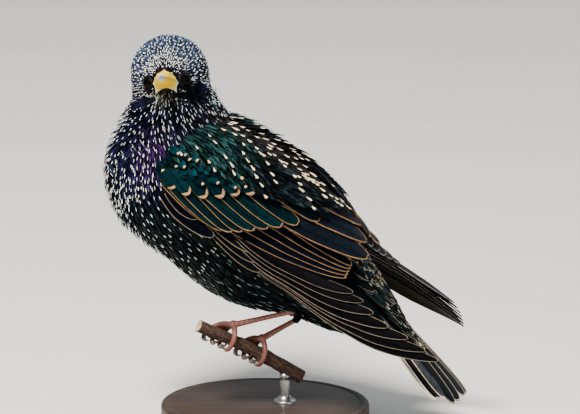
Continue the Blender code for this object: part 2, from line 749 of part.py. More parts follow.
def main():
    for old in list(bpy.data.objects):
        bpy.data.objects.remove(old)
    parts = bpy.data.collections.new("starling")
    cutters = bpy.data.collections.new("cutters")
    for group in (parts, cutters):
        bpy.context.scene.collection.children.link(group)
    looks = {
        "plumage": material("dark_plumage", (0.02, 0.035, 0.045), 0.45),
        "flight": material("flight_feathers", (0.02, 0.05, 0.05), 0.4),
        "bill": material("bill_yellow", (0.85, 0.55, 0.06), 0.4),
        "eye": material("eye_dark", (0.02, 0.012, 0.01), 0.08),
        "leg": material("leg_pink", (0.42, 0.17, 0.15), 0.5),
        "claw": material("claw_grey", (0.07, 0.07, 0.09), 0.35),
        "bark": material("bark", (0.12, 0.06, 0.035), 0.85),
        "stand": material("stand_wood", (0.05, 0.04, 0.035), 0.4),
        "rod": material("stand_steel", (0.45, 0.45, 0.46), 0.3, 1.0),
    }
    trunk_part("torso", looks["plumage"], parts)
    trunk_part("neck", looks["plumage"], parts)
    room = trunk_room(cutters)
    build_head(looks, parts, cutters)
    for name, side in (("wing_left", 1), ("wing_right", -1)):
        build_wing(name, side, looks, parts, room)
    build_tail(looks, parts)
    for side_name in FEET:
        build_foot(side_name, looks, parts, cutters, room)
    twig_tube("perch", 0, looks["bark"], parts)
    build_stand(looks, parts, cutters)
    shade(parts)
    model = bpy.data.objects.new("starling", None)
    bpy.context.scene.collection.objects.link(model)
    for piece in parts.objects:
        piece.parent = model
    for cutter in cutters.objects:
        cutter.hide_render = True
        cutter.display_type = "WIRE"


main()
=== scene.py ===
import math

import bpy
import numpy as np
from mathutils import Matrix, Vector


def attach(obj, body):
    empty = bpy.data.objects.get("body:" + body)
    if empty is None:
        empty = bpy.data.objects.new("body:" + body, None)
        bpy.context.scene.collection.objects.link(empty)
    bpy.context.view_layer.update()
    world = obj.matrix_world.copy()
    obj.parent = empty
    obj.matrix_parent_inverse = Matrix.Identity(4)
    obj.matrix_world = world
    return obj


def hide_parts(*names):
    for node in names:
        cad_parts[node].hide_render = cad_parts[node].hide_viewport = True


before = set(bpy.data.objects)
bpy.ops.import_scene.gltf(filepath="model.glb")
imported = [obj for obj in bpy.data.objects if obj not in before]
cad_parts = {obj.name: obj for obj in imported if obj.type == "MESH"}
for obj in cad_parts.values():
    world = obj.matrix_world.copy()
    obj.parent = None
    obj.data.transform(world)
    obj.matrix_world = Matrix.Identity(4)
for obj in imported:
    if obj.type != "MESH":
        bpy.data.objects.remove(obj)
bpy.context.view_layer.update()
print("frame loaded:", len(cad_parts), "nodes")

mm = 0.001  # everything below is worked out in millimetres
dice = np.random.default_rng(23)


# Camera, floor and lights

view = {"middle": (10.0, 0.0, 88.3), "lookDown": 12.0, "away": 2200.0, "widthSeen": 232.0}


def addCamera():
    # stands back from the middle along the line of sight; its lens makes the picture widthSeen wide there
    tilt = math.radians(view["lookDown"])
    camera = bpy.data.cameras.new("camera")
    camera.sensor_width = 36
    camera.lens = 36 * view["away"] / view["widthSeen"]
    camera.clip_end = 60
    holder = bpy.data.objects.new("camera", camera)
    back = Vector((0, -math.cos(tilt), math.sin(tilt))) * view["away"]
    holder.location = (Vector(view["middle"]) + back) * mm
    holder.rotation_euler = (math.pi / 2 - tilt, 0, 0)
    bpy.context.scene.collection.objects.link(holder)
    bpy.context.scene.camera = holder


studio = {
    "key": {"at": (-420, -680, 1350), "size": 380, "watts": 70, "colour": (1.0, 0.96, 0.9)},
    "fill": {"at": (900, -700, 350), "size": 900, "watts": 4, "colour": (0.82, 0.9, 1.0)},
    "back": {"at": (300, 800, 900), "size": 500, "watts": 2.5, "colour": (1.0, 0.97, 0.93)},
}


def addLights():
    for name, lamp in studio.items():
        light = bpy.data.lights.new(name, "AREA")
        light.size = lamp["size"] * mm
        light.energy = lamp["watts"]
        light.color = lamp["colour"]
        holder = bpy.data.objects.new(name, light)
        holder.location = Vector(lamp["at"]) * mm
        aim = Vector(view["middle"]) - Vector(lamp["at"])
        holder.rotation_euler = aim.to_track_quat("-Z", "Y").to_euler()
        bpy.context.scene.collection.objects.link(holder)
    world = bpy.data.worlds.new("studio")
    world.use_nodes = True
    sky = world.node_tree.nodes["Background"]
    sky.inputs["Color"].default_value = (0.78, 0.84, 0.92, 1)
    sky.inputs["Strength"].default_value = 0.42
    bpy.context.scene.world = world


def addFloor():
    mesh = bpy.data.meshes.new("floor")
    reach = 12.0
    mesh.from_pydata([(-reach, -reach, 0), (reach, -reach, 0), (reach, reach, 0), (-reach, reach, 0)], [], [(0, 1, 2, 3)])
    floor = bpy.data.objects.new("floor", mesh)
    floor.data.materials.append(plainMaterial("floor", (0.72, 0.7, 0.66), 0.8))
    bpy.context.scene.collection.objects.link(floor)


# Materials


def plainMaterial(name, colour, roughness, **more):
    made = bpy.data.materials.new(name)
    made.use_nodes = True
    shader = made.node_tree.nodes["Principled BSDF"]
    shader.inputs["Base Color"].default_value = (*colour, 1)
    shader.inputs["Roughness"].default_value = roughness
    for socket, value in more.items():
        shader.inputs[socket.replace("_", " ")].default_value = value
    return made


def addNode(made, kind, **settings):
    node = made.node_tree.nodes.new(kind)
    for key, value in settings.items():
        if key in node.inputs:
            node.inputs[key].default_value = value
        else:
            setattr(node, key, value)
    return node


def join(made, output, entry):
    made.node_tree.links.new(output, entry)


def addBump(made, height, strength, distance):
    shader = made.node_tree.nodes["Principled BSDF"]
    bump = addNode(made, "ShaderNodeBump", Strength=strength, Distance=distance * mm)
    join(made, height, bump.inputs["Height"])
    join(made, bump.outputs["Normal"], shader.inputs["Normal"])


def featherMaterial(name, roughness, gloss, sheen, barbs, deep):
    # the vane's own tone, darkened in fine slanting barbs sin(barbs (y - 1.1 |x|)); its gloss has the tone's hue
    made = plainMaterial(name, (0.02, 0.03, 0.03), roughness)
    made.node_tree.nodes["Principled BSDF"].inputs["Specular IOR Level"].default_value = gloss
    shader = made.node_tree.nodes["Principled BSDF"]
    tone = addNode(made, "ShaderNodeAttribute", attribute_name="tone")
    across = addNode(made, "ShaderNodeUVMap", uv_map="vane")
    parts = addNode(made, "ShaderNodeSeparateXYZ")
    join(made, across.outputs["UV"], parts.inputs["Vector"])
    side = addNode(made, "ShaderNodeMath", operation="ABSOLUTE")
    join(made, parts.outputs["X"], side.inputs[0])
    slant = addNode(made, "ShaderNodeMath", operation="MULTIPLY_ADD")
    join(made, side.outputs[0], slant.inputs[0])
    slant.inputs[1].default_value = -1.1
    join(made, parts.outputs["Y"], slant.inputs[2])
    row = addNode(made, "ShaderNodeMath", operation="MULTIPLY")
    join(made, slant.outputs[0], row.inputs[0])
    row.inputs[1].default_value = barbs
    wave = addNode(made, "ShaderNodeMath", operation="SINE")
    join(made, row.outputs[0], wave.inputs[0])
    place = addNode(made, "ShaderNodeTexCoord")
    cloud = addNode(made, "ShaderNodeTexNoise", Scale=420.0, Detail=3.0)
    join(made, place.outputs["Object"], cloud.inputs["Vector"])
    level = addNode(made, "ShaderNodeMapRange")
    for socket, value in (("From Min", 0.3), ("From Max", 0.7), ("To Min", 0.72), ("To Max", 1.28)):
        level.inputs[socket].default_value = value
    join(made, cloud.outputs["Fac"], level.inputs["Value"])
    streak = addNode(made, "ShaderNodeMath", operation="MULTIPLY_ADD")
    join(made, wave.outputs[0], streak.inputs[0])
    streak.inputs[1].default_value = deep
    join(made, level.outputs["Result"], streak.inputs[2])
    for target, gain in (("Base Color", 1.0), ("Specular Tint", sheen)):
        shade = addNode(made, "ShaderNodeVectorMath", operation="SCALE")
        join(made, tone.outputs["Color"], shade.inputs[0])
        last = shade
        if target == "Base Color":
            join(made, streak.outputs[0], shade.inputs["Scale"])
        else:
            shade.inputs["Scale"].default_value = gain
            last = addNode(made, "ShaderNodeVectorMath", operation="MINIMUM")
            join(made, shade.outputs["Vector"], last.inputs[0])
            last.inputs[1].default_value = (1, 1, 1)
        join(made, last.outputs["Vector"], shader.inputs[target])
    addBump(made, wave.outputs[0], 0.18, 0.04)
    return made


def speckledMaterial(name, roughness, gloss, scale, depth, bump, toned=True, colour=(0.1, 0.1, 0.1), stretch=(1, 1, 1)):
    # its tone, or one colour, times a noise of the given scale per metre, which also roughens it
    made = plainMaterial(name, colour, roughness)
    shader = made.node_tree.nodes["Principled BSDF"]
    shader.inputs["Specular IOR Level"].default_value = gloss
    place = addNode(made, "ShaderNodeTexCoord")
    turn = addNode(made, "ShaderNodeMapping")
    turn.inputs["Scale"].default_value = stretch
    join(made, place.outputs["Object"], turn.inputs["Vector"])
    cloud = addNode(made, "ShaderNodeTexNoise", Scale=scale, Detail=6.0)
    join(made, turn.outputs["Vector"], cloud.inputs["Vector"])
    level = addNode(made, "ShaderNodeMapRange")
    for socket, value in (("From Min", 0.3), ("From Max", 0.7), ("To Min", 1 - depth), ("To Max", 1 + depth)):
        level.inputs[socket].default_value = value
    join(made, cloud.outputs["Fac"], level.inputs["Value"])
    shade = addNode(made, "ShaderNodeVectorMath", operation="SCALE")
    if toned:
        tone = addNode(made, "ShaderNodeAttribute", attribute_name="tone")
        join(made, tone.outputs["Color"], shade.inputs[0])
    else:
        shade.inputs[0].default_value = colour
    join(made, level.outputs["Result"], shade.inputs["Scale"])
    join(made, shade.outputs["Vector"], shader.inputs["Base Color"])
    addBump(made, cloud.outputs["Fac"], 0.5, bump)
    return made


# Meshes


def addPiece(name, points, faces, material, slot, tones=None, maps=None, replaced=()):
    # points in millimetres; faces is a list of arrays, each with the corner numbers of faces of one size
    mesh = bpy.data.meshes.new(name)
    points = np.asarray(points, np.float32).reshape(-1, 3) * mm
    if volumeOf(points, faces) < 0:
        faces = [some[:, ::-1] for some in faces]
    sizes = np.concatenate([np.full(len(some), some.shape[1]) for some in faces])
    corners = np.concatenate([some.ravel() for some in faces]).astype(np.int32)
    mesh.vertices.add(len(points))
    mesh.vertices.foreach_set("co", points.ravel())
    mesh.loops.add(len(corners))
    mesh.loops.foreach_set("vertex_index", corners)
    mesh.polygons.add(len(sizes))
    mesh.polygons.foreach_set("loop_start", np.concatenate([[0], np.cumsum(sizes)[:-1]]).astype(np.int32))
    mesh.update(calc_edges=True)
    mesh.shade_smooth()
    if tones is not None:
        layer = mesh.color_attributes.new("tone", "FLOAT_COLOR", "POINT")
        filled = np.ones((len(points), 4), np.float32)
        filled[:, :3] = np.clip(np.asarray(tones).reshape(-1, 3), 0, 1)
        layer.data.foreach_set("color", filled.ravel())
    for label, places in (maps or {}).items():
        layer = mesh.uv_layers.new(name=label)
        layer.data.foreach_set("uv", np.asarray(places, np.float32).reshape(-1, 2)[corners].ravel())
    mesh.materials.append(material)
    piece = bpy.data.objects.new(name, mesh)
    bpy.context.scene.collection.objects.link(piece)
    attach(piece, "root")
    if replaced:
        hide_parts(*replaced)
    return piece


def volumeOf(points, faces):
    # six times the volume inside the faces, below zero where they face inwards
    middle = points.mean(0)
    total = 0.0
    for some in faces:
        corners = points[some].astype(float) - middle
        for k in range(1, some.shape[1] - 1):
            total += np.einsum("ij,ij->", corners[:, 0], np.cross(corners[:, k], corners[:, k + 1]))
    return total


def gridFaces(rows, columns, closed=True, start=0):
    # quads of a grid of rows by columns; closed joins the last column to the first
    row, column = np.meshgrid(np.arange(rows - 1), np.arange(columns - (0 if closed else 1)), indexing="ij")
    after = (column + 1) % columns
    quads = np.stack([row * columns + column, row * columns + after, (row + 1) * columns + after, (row + 1) * columns + column], -1)
    return quads.reshape(-1, 4) + start


def closedRings(rings):
    # points and faces of a solid through rings, with a fan at either end
    rows, columns = rings.shape[:2]
    points = np.concatenate([rings.reshape(-1, 3), rings[:1].mean(1), rings[-1:].mean(1)])
    around = np.arange(columns)
    after = (around + 1) % columns
    low = np.stack([np.full(columns, rows * columns), after, around], -1)
    high = np.stack([np.full(columns, rows * columns + 1), around + (rows - 1) * columns, after + (rows - 1) * columns], -1)
    return points, [gridFaces(rows, columns), low, high]


def unit(vectors):
    return vectors / (np.linalg.norm(vectors, axis=-1, keepdims=True) + 1e-12)


def smoothStep(low, high, value):
    share = np.clip((value - low) / (high - low), 0, 1)
    return share * share * (3 - 2 * share)


def along(vectors, direction):
    return np.einsum("...i,...i->...", vectors, np.broadcast_to(direction, vectors.shape))


# The bird's shape

bird = {
    "body": {"turn": (170.1, 38.97, -8.5), "at": (-7.9, -1.2, 82.6)},
    "head": {"turn": (-94.1, 13.1, 5.0), "at": (-38.8, 10.2, 136.2)},
    "neck": {"lean": (8.0, 12.0), "at": (-34.0, 8.3, 113.1)},
    "blend": 2.6,
    "rearDome": 0.06,
    "crownDome": 0.86,
}

# frame, middle, half-sizes, nose-up tilt
masses = (
    ("body", (4, 0, -2), (45, 24, 30.5), 0),
    ("body", (31, 0, -2.5), (31, 25, 28.5), 14),
    ("body", (-12, 0, 12), (38, 16, 19), 8),
    ("body", (-46, 0, 10), (32, 12.5, 11), 17),
    ("body", (-37, 0, -2), (29, 12.5, 14), -10),
    ("neck", (0, 0, 0), (20.5, 20, 27), 0),
    ("head", (-10.5, 0, 5.5), (13, 15.4, 15), 0),
    ("head", (0, 0, 2.2), (10.5, 4.4, 9.4), 0),
    ("head", (7.5, 0, 1.9), (6, 3.4, 4.2), 0),
    ("head", (-10, 0, -9), (13.5, 14, 13), 0),
    ("body", (20, 19, 5), (16, 10, 13), 0),
    ("body", (20, -19, 5), (16, 10, 13), 0),
)
trunkMasses = masses[:5]

spine = (
    ("body", (-66, 0, 5)), ("body", (-50, 0, 4)), ("body", (-25, 0, 1)), ("body", (0, 0, 0)), ("body", (22, 0, 1)),
    ("neck", (3, 0, -8)), ("neck", (-2, 0, 10)), ("head", (-3, 0, -3)), ("head", (-3, 0, 5)),
)

eye = {"radius": 3.8, "at": (4.9, 5.8, 0.7), "facing": (0.62, 0.78, 0.05), "opening": 52.0}
bill = {"length": 25.0, "baseX": 12.5, "mouthZ": 1.5}


def axisTurn(degrees, axis):
    return np.array(Matrix.Rotation(math.radians(degrees), 3, axis))


def turned(heading, pitch, roll):
    return axisTurn(heading, "Z") @ axisTurn(-pitch, "Y") @ axisTurn(roll, "X")


frames = {
    "body": (turned(*bird["body"]["turn"]), np.array(bird["body"]["at"])),
    "head": (turned(*bird["head"]["turn"]), np.array(bird["head"]["at"])),
    "neck": (axisTurn(-bird["neck"]["lean"][1], "X") @ axisTurn(-bird["neck"]["lean"][0], "Y"), np.array(bird["neck"]["at"])),
}


def toWorld(points, name):
    turn, at = frames[name]
    return np.asarray(points, float) @ turn.T + at


def toFrame(points, name):
    turn, at = frames[name]
    return (np.asarray(points, float) - at) @ turn


def ellipsoidDistance(points, middle, sizes, tilt):
    # about how far outside: k(k - 1) / |p / size^2|, where k = |p / size| in the tilted frame
    local = (points - np.array(middle, float)) @ axisTurn(-tilt, "Y")
    sizes = np.array(sizes, float)
    near = np.linalg.norm(local / sizes, axis=-1) + 1e-9
    slope = np.linalg.norm(local / sizes**2, axis=-1) + 1e-9
    return near * (near - 1) / slope


def blended(distances):
    # the soft minimum: -b log(sum of exp(-d / b))
    stacked = np.stack([np.clip(d, -60, 200) for d in distances])
    return -bird["blend"] * np.log(np.exp(-stacked / bird["blend"]).sum(axis=0) + 1e-80)


def eyeMiddle(side):
    return toWorld((eye["at"][0], side * eye["at"][1], eye["at"][2]), "head")


def eyeAxis(side):
    facing = np.array((eye["facing"][0], side * eye["facing"][1], eye["facing"][2]))
    return unit(frames["head"][0] @ facing)


def plumageDistance(points):
    # the blended masses; round each eye the surface comes down smoothly onto the eyeball
    found = blended([ellipsoidDistance(toFrame(points, f), middle, sizes, tilt) for f, middle, sizes, tilt in masses])
    for side in (1, -1):
        offset = points - eyeMiddle(side)
        away = np.linalg.norm(offset, axis=-1) + 1e-9
        cosine = along(offset, eyeAxis(side)) / away
        share = smoothStep(0.05, 0.6, cosine) * smoothStep(12, 8, away)
        found = found * (1 - share) + (away - eye["radius"] - 0.25) * share
    return found


def outward(points, distance, step=0.2):
    # the distance's slope from four corners of a small tetrahedron
    corners = np.array(((1, -1, -1), (-1, -1, 1), (-1, 1, -1), (1, 1, 1)), float)
    slope = sum(corner * distance(points + corner * step)[..., None] for corner in corners)
    return unit(slope)


def settle(points, distance, reach, rounds=3):
    # moves points along the slope until the distance equals reach
    for _ in range(rounds):
        points = points - outward(points, distance) * (distance(points) - reach)[..., None]
    return points


def walkOut(starts, rays, distance, reach, rounds=45):
    way = np.full(rays.shape[:-1], 2.0)
    for _ in range(rounds):
        way = way - 0.8 * (distance(starts + rays * way[..., None]) - reach)
    return starts + rays * way[..., None]


def splineThrough(knots, share):
    # Catmull-Rom
    ends = np.vstack([2 * knots[0] - knots[1], knots, 2 * knots[-1] - knots[-2]])
    position = np.clip(share, 0, 1) * (len(knots) - 1)
    first = np.clip(position.astype(int), 0, len(knots) - 2)
    t = (position - first)[..., None]
    a, b, c, d = (ends[first + i] for i in range(4))
    return 0.5 * (2 * b + (c - a) * t + (2 * a - 5 * b + 4 * c - d) * t**2 + (3 * b - a - 3 * c + d) * t**3)


def bodyRings(shares, turns, reach):
    # rings round the spine, found along rays that tip over at the rump and the crown
    knots = np.array([toWorld(point, name) for name, point in spine])
    onSpine = np.clip((shares - bird["rearDome"]) / (bird["crownDome"] - bird["rearDome"]), 0, 1)
    middle = splineThrough(knots, onSpine)
    ahead = unit(splineThrough(knots, np.clip(onSpine + 0.002, 0, 1)) - splineThrough(knots, np.clip(onSpine - 0.002, 0, 1)))
    viewer = frames["neck"][0] @ np.array((0, -1.0, 0))
    near = unit(viewer - (ahead @ viewer)[:, None] * ahead)
    across = np.cross(ahead, near)
    tip = np.clip((shares - bird["crownDome"]) / (1 - bird["crownDome"]), 0, 1)
    tip = (tip - np.clip(1 - shares / bird["rearDome"], 0, 1)) * math.pi / 2 * 0.985
    flat = near[:, None] * np.cos(turns)[None, :, None] + across[:, None] * np.sin(turns)[None, :, None]
    rays = flat * np.cos(tip)[:, None, None] + ahead[:, None] * np.sin(tip)[:, None, None]
    return walkOut(middle[:, None] + 0 * rays, rays, plumageDistance, reach)


# Colours of the plumage: name, frame, place, reach, colour

zones = (
    ("crown", "head", (-8, 0, 20), 13, (0.026, 0.044, 0.09)),
    ("forehead", "head", (6, 0, 11), 8, (0.022, 0.026, 0.04)),
    # ears, on the head's shaded side, is darker than earsFar: painted shade
    ("ears", "head", (-10, 15, -1), 9, (0.006, 0.007, 0.018)),
    ("earsFar", "head", (-10, -15, -1), 9, (0.024, 0.026, 0.05)),
    ("lores", "head", (9, 4.5, 2), 5, (0.002, 0.002, 0.003)),
    ("loresFar", "head", (9, -4.5, 2), 5, (0.002, 0.002, 0.003)),
    ("chin", "head", (13, -1, -5), 5, (0.05, 0.05, 0.035)),
    ("throat", "neck", (-1, -22, 4), 14, (0.002, 0.003, 0.009)),
    # neckFar, on the neck's shaded side, is darker than neckSide: painted shade
    ("neckSide", "neck", (-22, -4, 0), 13, (0.01, 0.013, 0.045)),
    ("neckFar", "neck", (20, 8, 8), 14, (0.003, 0.003, 0.01)),
    ("gorget", "neck", (-14, -18, -12), 10, (0.014, 0.012, 0.055)),
    ("violet", "body", (41, 21, 4), 8, (0.045, 0.014, 0.07)),
    ("bronze", "body", (33, 22, 14), 8, (0.012, 0.008, 0.014)),
    ("breast", "body", (46, 6, -16), 18, (0.003, 0.006, 0.011)),
    ("breastFar", "body", (46, -14, -6), 16, (0.005, 0.006, 0.014)),
    ("side", "body", (24, 20, -16), 14, (0.002, 0.007, 0.01)),
    ("belly", "body", (0, 16, -24), 20, (0.0012, 0.0035, 0.0035)),
    ("bellyFar", "body", (0, -16, -24), 20, (0.0012, 0.0035, 0.0035)),
    ("vent", "body", (-40, 0, -12), 18, (0.003, 0.005, 0.006)),
    ("mantle", "body", (0, 0, 30), 24, (0.011, 0.009, 0.009)),
    ("rump", "body", (-50, 0, 20), 18, (0.005, 0.011, 0.012)),
)


def plumeTone(points):
    # the zones' colours, weighed by exp(-(distance / reach)^2)
    total = np.full(points.shape[:-1] + (1,), 1e-6)
    mixed = total * np.array((0.004, 0.008, 0.01))
    for _, name, place, reach, colour in zones:
        away = np.linalg.norm(points - toWorld(place, name), axis=-1)
        weight = np.exp(-((away / reach) ** 2))[..., None]
        total = total + weight
        mixed = mixed + weight * np.array(colour)
    return mixed / total


# Feathers as closed vanes


def featherSolids(path, up, half, rim, crest, columns):
    # a vane along each path: across it the height is rim + (crest - rim)(1 - c^2); its underside is flat.
    # path and up are (feathers, stations, 3); half, rim and crest are (feathers, stations)
    heading = unit(np.gradient(path, axis=1))
    side = unit(np.cross(heading, up))
    c = np.asarray(columns, float)
    height = rim[..., None] + (crest - rim)[..., None] * (1 - c**2)
    points = path[:, :, None] + side[:, :, None] * (half[..., None] * c)[..., None]
    points = points + up[:, :, None] * height[..., None]
    count, stations, width = points.shape[:3]
    last = width - 1
    top = gridFaces(stations, width, closed=False)
    k = np.arange(stations - 1) * width
    under = np.stack([k, k + width, k + width + last, k + last], -1)
    root = np.arange(width)[::-1][None]
    tip = (np.arange(width) + (stations - 1) * width)[None]
    shift = (np.arange(count) * stations * width)[:, None, None]
    faces = [np.concatenate([top, under])[None] + shift, root[None] + shift, tip[None] + shift]
    return points, [some.reshape(-1, some.shape[-1]) for some in faces]


def addVanes(name, path, up, half, rim, crest, columns, tones, places, material, slot, limit=190000, replaced=()):
    # splits the vanes into pieces under the limit of triangles; tones is (feathers, stations, columns, 3)
    count, stations = path.shape[:2]
    width = len(columns)
    triangles = 2 * (stations - 1) * width + 2 * (width - 2)
    parts = max(1, math.ceil(count * triangles / limit))
    local = np.stack(np.meshgrid(np.linspace(0, 1, stations), columns, indexing="ij"), -1)
    for number in range(parts):
        some = slice(number * count // parts, (number + 1) * count // parts)
        points, faces = featherSolids(path[some], up[some], half[some], rim[some], crest[some], columns)
        total = len(points)
        length = np.linalg.norm(np.diff(path[some], axis=1), axis=-1).sum(1)
        vane = np.empty((total, stations, width, 2))
        vane[..., 0] = local[..., 1] * half[some][..., None]
        vane[..., 1] = local[..., 0] * length[:, None, None]
        patch = places[some][:, None, None] + (np.stack([local[..., 1] / 2, local[..., 0] - 0.5], -1) * 0.003)[None]
        label = name if parts == 1 else f"{name}_{number + 1}"
        stands = replaced if number == 0 else ()
        addPiece(label, points, faces, material, slot, tones[some], {"OFBake": patch, "vane": vane}, stands)
    print(name, count, "vanes,", count * triangles, "triangles")


# Where the feathers of the body stand

skinRows, skinColumns = 260, 200
turnGrid = np.linspace(0, 2 * math.pi, skinColumns + 1) + math.pi  # the seam is on the far side
shareGrid = np.linspace(0, 1, skinRows)
surface = bodyRings(shareGrid, turnGrid[:-1], 0.0)
surface = np.concatenate([surface, surface[:, :1]], axis=1)
print("body surface worked out")


def onSurface(row, column):
    # the surface's point at a fractional row and column
    low, left = np.clip(row.astype(int), 0, skinRows - 2), np.clip(column.astype(int), 0, skinColumns - 1)
    v, u = (row - low)[:, None], (column - left)[:, None]
    below = surface[low, left] * (1 - u) + surface[low, left + 1] * u
    above = surface[low + 1, left] * (1 - u) + surface[low + 1, left + 1] * u
    return below * (1 - v) + above * v, above - below


def sowRows(start, stop, apart, across, uneven=0.3):
    # rows round the body at equal mean distances; in a row the roots stand at equal arc lengths, every
    # second row shifted by half, and rows that crowd on the inside of a bend lose every second one
    rowLength = np.concatenate([[0], np.cumsum(np.linalg.norm(np.diff(surface, axis=0), axis=-1).mean(1))])
    first, last = np.interp((start, stop), shareGrid, rowLength)
    count = max(2, round((last - first) / apart))
    rows = np.interp(np.linspace(first, last, count), rowLength, np.arange(skinRows))
    found = []
    for number, row in enumerate(rows):
        ring, _ = onSurface(np.full(skinColumns + 1, row), np.arange(skinColumns + 1.0))
        cumulative = np.concatenate([[0], np.cumsum(np.linalg.norm(np.diff(ring, axis=0), axis=-1))])
        total = max(1, round(cumulative[-1] / across))
        at = (np.arange(total) + 0.5 * (number % 2) + dice.normal(0, uneven / 2, total)) / total % 1
        column = np.interp(at * cumulative[-1], cumulative, np.arange(skinColumns + 1.0))
        shifted = row + dice.normal(0, uneven / 2, total) * (rows[1] - rows[0])
        found.append(np.stack([shifted, column, np.full(total, number), np.arange(total)], -1))
    row, column, number, index = np.concatenate(found).T
    row = np.clip(row, 0, skinRows - 1.001)
    points, ahead = onSurface(row, column)
    rowStep = np.interp(number, np.arange(count - 1), np.diff(rows))
    spacing = np.linalg.norm(ahead, axis=-1) * rowStep
    keep = (number % 2 == 0) | (spacing > 0.62 * apart)
    places = np.stack([column / skinColumns, row / skinRows], -1) * 0.96 + 0.02
    share = row / (skinRows - 1)
    found = {"points": points, "tailward": -unit(ahead), "share": share, "places": places, "row": number, "index": index}
    return pick(found, keep)


def pick(tract, keep):
    return {key: value[keep] for key, value in tract.items()}


def layOn(roots, lie, length, depths, distance):
    # walks each feather's middle line over the surface, at its depth at each station
    stations = depths.shape[1]
    points = settle(roots, distance, depths[:, 0])
    heading, path, ups = lie, [], []
    for station in range(stations):
        up = outward(points, distance)
        heading = unit(heading - up * along(heading, up)[:, None])
        path.append(points)
        ups.append(up)
        if station < stations - 1:
            points = points + heading * (length / (stations - 1))[:, None]
            points = settle(points, distance, depths[:, station + 1], 2)
    return np.stack(path, 1), np.stack(ups, 1)


def between(path, position):
    # points on each path at fractional stations; position is (feathers, k)
    low = np.clip(position.astype(int), 0, path.shape[1] - 2)
    part = (position - low)[..., None]
    rows = np.arange(len(path))[:, None]
    return path[rows, low] * (1 - part) + path[rows, low + 1] * part


materials = {
    "plume": featherMaterial("plumage", 0.5, 0.1, 12.0, 26.0, 0.15),
    "flight": featherMaterial("flight_feathers", 0.42, 0.2, 9.0, 18.0, 0.12),
    "pale": featherMaterial("pale_tips", 0.6, 0.2, 1.2, 20.0, 0.05),
    "skin": featherMaterial("under_feathers", 0.8, 0.05, 4.0, 12.0, 0.2),
    "bill": speckledMaterial("bill_horn", 0.4, 0.1, 700.0, 0.1, 0.03),
    "eye": speckledMaterial("eye", 0.2, 0.03, 2500.0, 0.3, 0.0),
    "lid": speckledMaterial("eyelid", 0.6, 0.12, 3000.0, 0.35, 0.08),
    "leg": speckledMaterial("leg_scales", 0.45, 0.4, 1600.0, 0.22, 0.06),
    "claw": speckledMaterial("claw_horn", 0.32, 0.45, 1800.0, 0.25, 0.03),
    "bark": speckledMaterial("bark", 0.8, 0.25, 900.0, 0.55, 0.3),
    "wood": speckledMaterial("stand_wood", 0.5, 0.3, 40.0, 0.35, 0.06, False, (0.03, 0.018, 0.012), (1, 9, 9)),
    "steel": speckledMaterial("stand_rod", 0.3, 0.5, 300.0, 0.12, 0.02, False, (0.45, 0.44, 0.42), (8, 8, 0.4)),
}
materials["eye"].node_tree.nodes["Principled BSDF"].inputs["Coat Weight"].default_value = 0.03
materials["steel"].node_tree.nodes["Principled BSDF"].inputs["Metallic"].default_value = 1.0


# Wings: laid out on a sheet round the body, s behind the wrist and t up from the start line

wing = {
    "wristX": 34.6, "carrier": ((-62, 4, 5), (58, 15.5, 16), -2), "rightOut": 5.0, "layer": 0.85, "thick": 0.3,
    "midline": {1: 94.0, -1: 84.0}, "lowerEdge": ((0, 20, 65, 130), (-4, -7, -12, -2)),
}
sheet = {"s": (0, 35, 60, 85, 105, 129), "radius": (26, 29, 28, 23.5, 20, 18), "start": 5.0, "rise": 0.206}


def wingDistance(points, side):
    # outside the torso and what carries the wing past the rump, in the body's frame
    middle, sizes, tilt = wing["carrier"]
    out = side * (middle[1] + (wing["rightOut"] if side < 0 else 0))
    found = [ellipsoidDistance(points, m, r, a) for _, m, r, a in trunkMasses]
    found.append(ellipsoidDistance(points, (middle[0], out, middle[2]), sizes, tilt))
    return blended(found)


def sheetMiddle(x):
    return np.interp(x, (-110, -60, -20, 40), (5, 5, 1, -1))


def wingSheet(s, t, depth, side):
    s, t, depth = np.broadcast_arrays(*(np.asarray(v, float) for v in (s, t, depth)))
    x = wing["wristX"] - s
    turn = np.radians(sheet["start"] + sheet["rise"] * s) + t / np.interp(s, sheet["s"], sheet["radius"])
    rays = np.stack([0 * x, side * np.cos(turn), np.sin(turn)], -1)
    middle = np.stack([x, 0 * x, sheetMiddle(x)], -1)
    return toWorld(walkOut(middle, rays, lambda points: wingDistance(points, side), depth), "body")


def onWing(points):
    # the sheet's s and t under world points, on the side each is on
    x, y, z = np.moveaxis(toFrame(points, "body"), -1, 0)
    s = wing["wristX"] - x
    turn = np.arctan2(z - sheetMiddle(x), np.abs(y))
    return s, (turn - np.radians(sheet["start"] + sheet["rise"] * s)) * np.interp(s, sheet["s"], sheet["radius"])


def backLimit(s, side):
    radius = np.interp(s, sheet["s"], sheet["radius"])
    return np.radians(wing["midline"][side] - sheet["start"] - sheet["rise"] * s) * radius


# Skin and coat of the body

stationsOfTuft = np.array((0, 0.3, 0.55, 0.75, 0.9, 1))
columnsOfTuft = (-1, -0.5, 0, 0.5, 1)
outlines = {"hackle": (0.45, 0.85, 1, 0.85, 0.5, 0.08), "contour": (0.4, 0.85, 1, 0.95, 0.68, 0.16)}
# the ice colour is white with a painted sky-blue cast: the skylit, shaded copy of the cream spots' white
paleColours = {"cream": (0.95, 0.9, 0.77), "skylitWhite": (0.7, 0.84, 0.82), "buff": (0.82, 0.58, 0.34), "lilac": (0.78, 0.82, 0.93)}
cream, skylitWhite, buff, lilac = (np.array(colour) for colour in paleColours.values())


def skinPlaces(points):
    # where points lie on the unwrap of the skin: turn and share of the nearest point of its grid
    flat = surface[:, :-1].reshape(-1, 3)
    near = np.concatenate([((some[:, None] - flat[None]) ** 2).sum(-1).argmin(1) for some in np.array_split(points, 24)])
    return np.stack([near % skinColumns / skinColumns, near // skinColumns / skinRows], -1) * 0.96 + 0.02


def coatDepth(points):
    fromBill = np.linalg.norm(points - toWorld((bill["baseX"], 0, bill["mouthZ"]), "head"), axis=-1)
    return np.interp(fromBill, (5, 14, 30, 60), (0.45, 0.6, 1.2, 1.8))


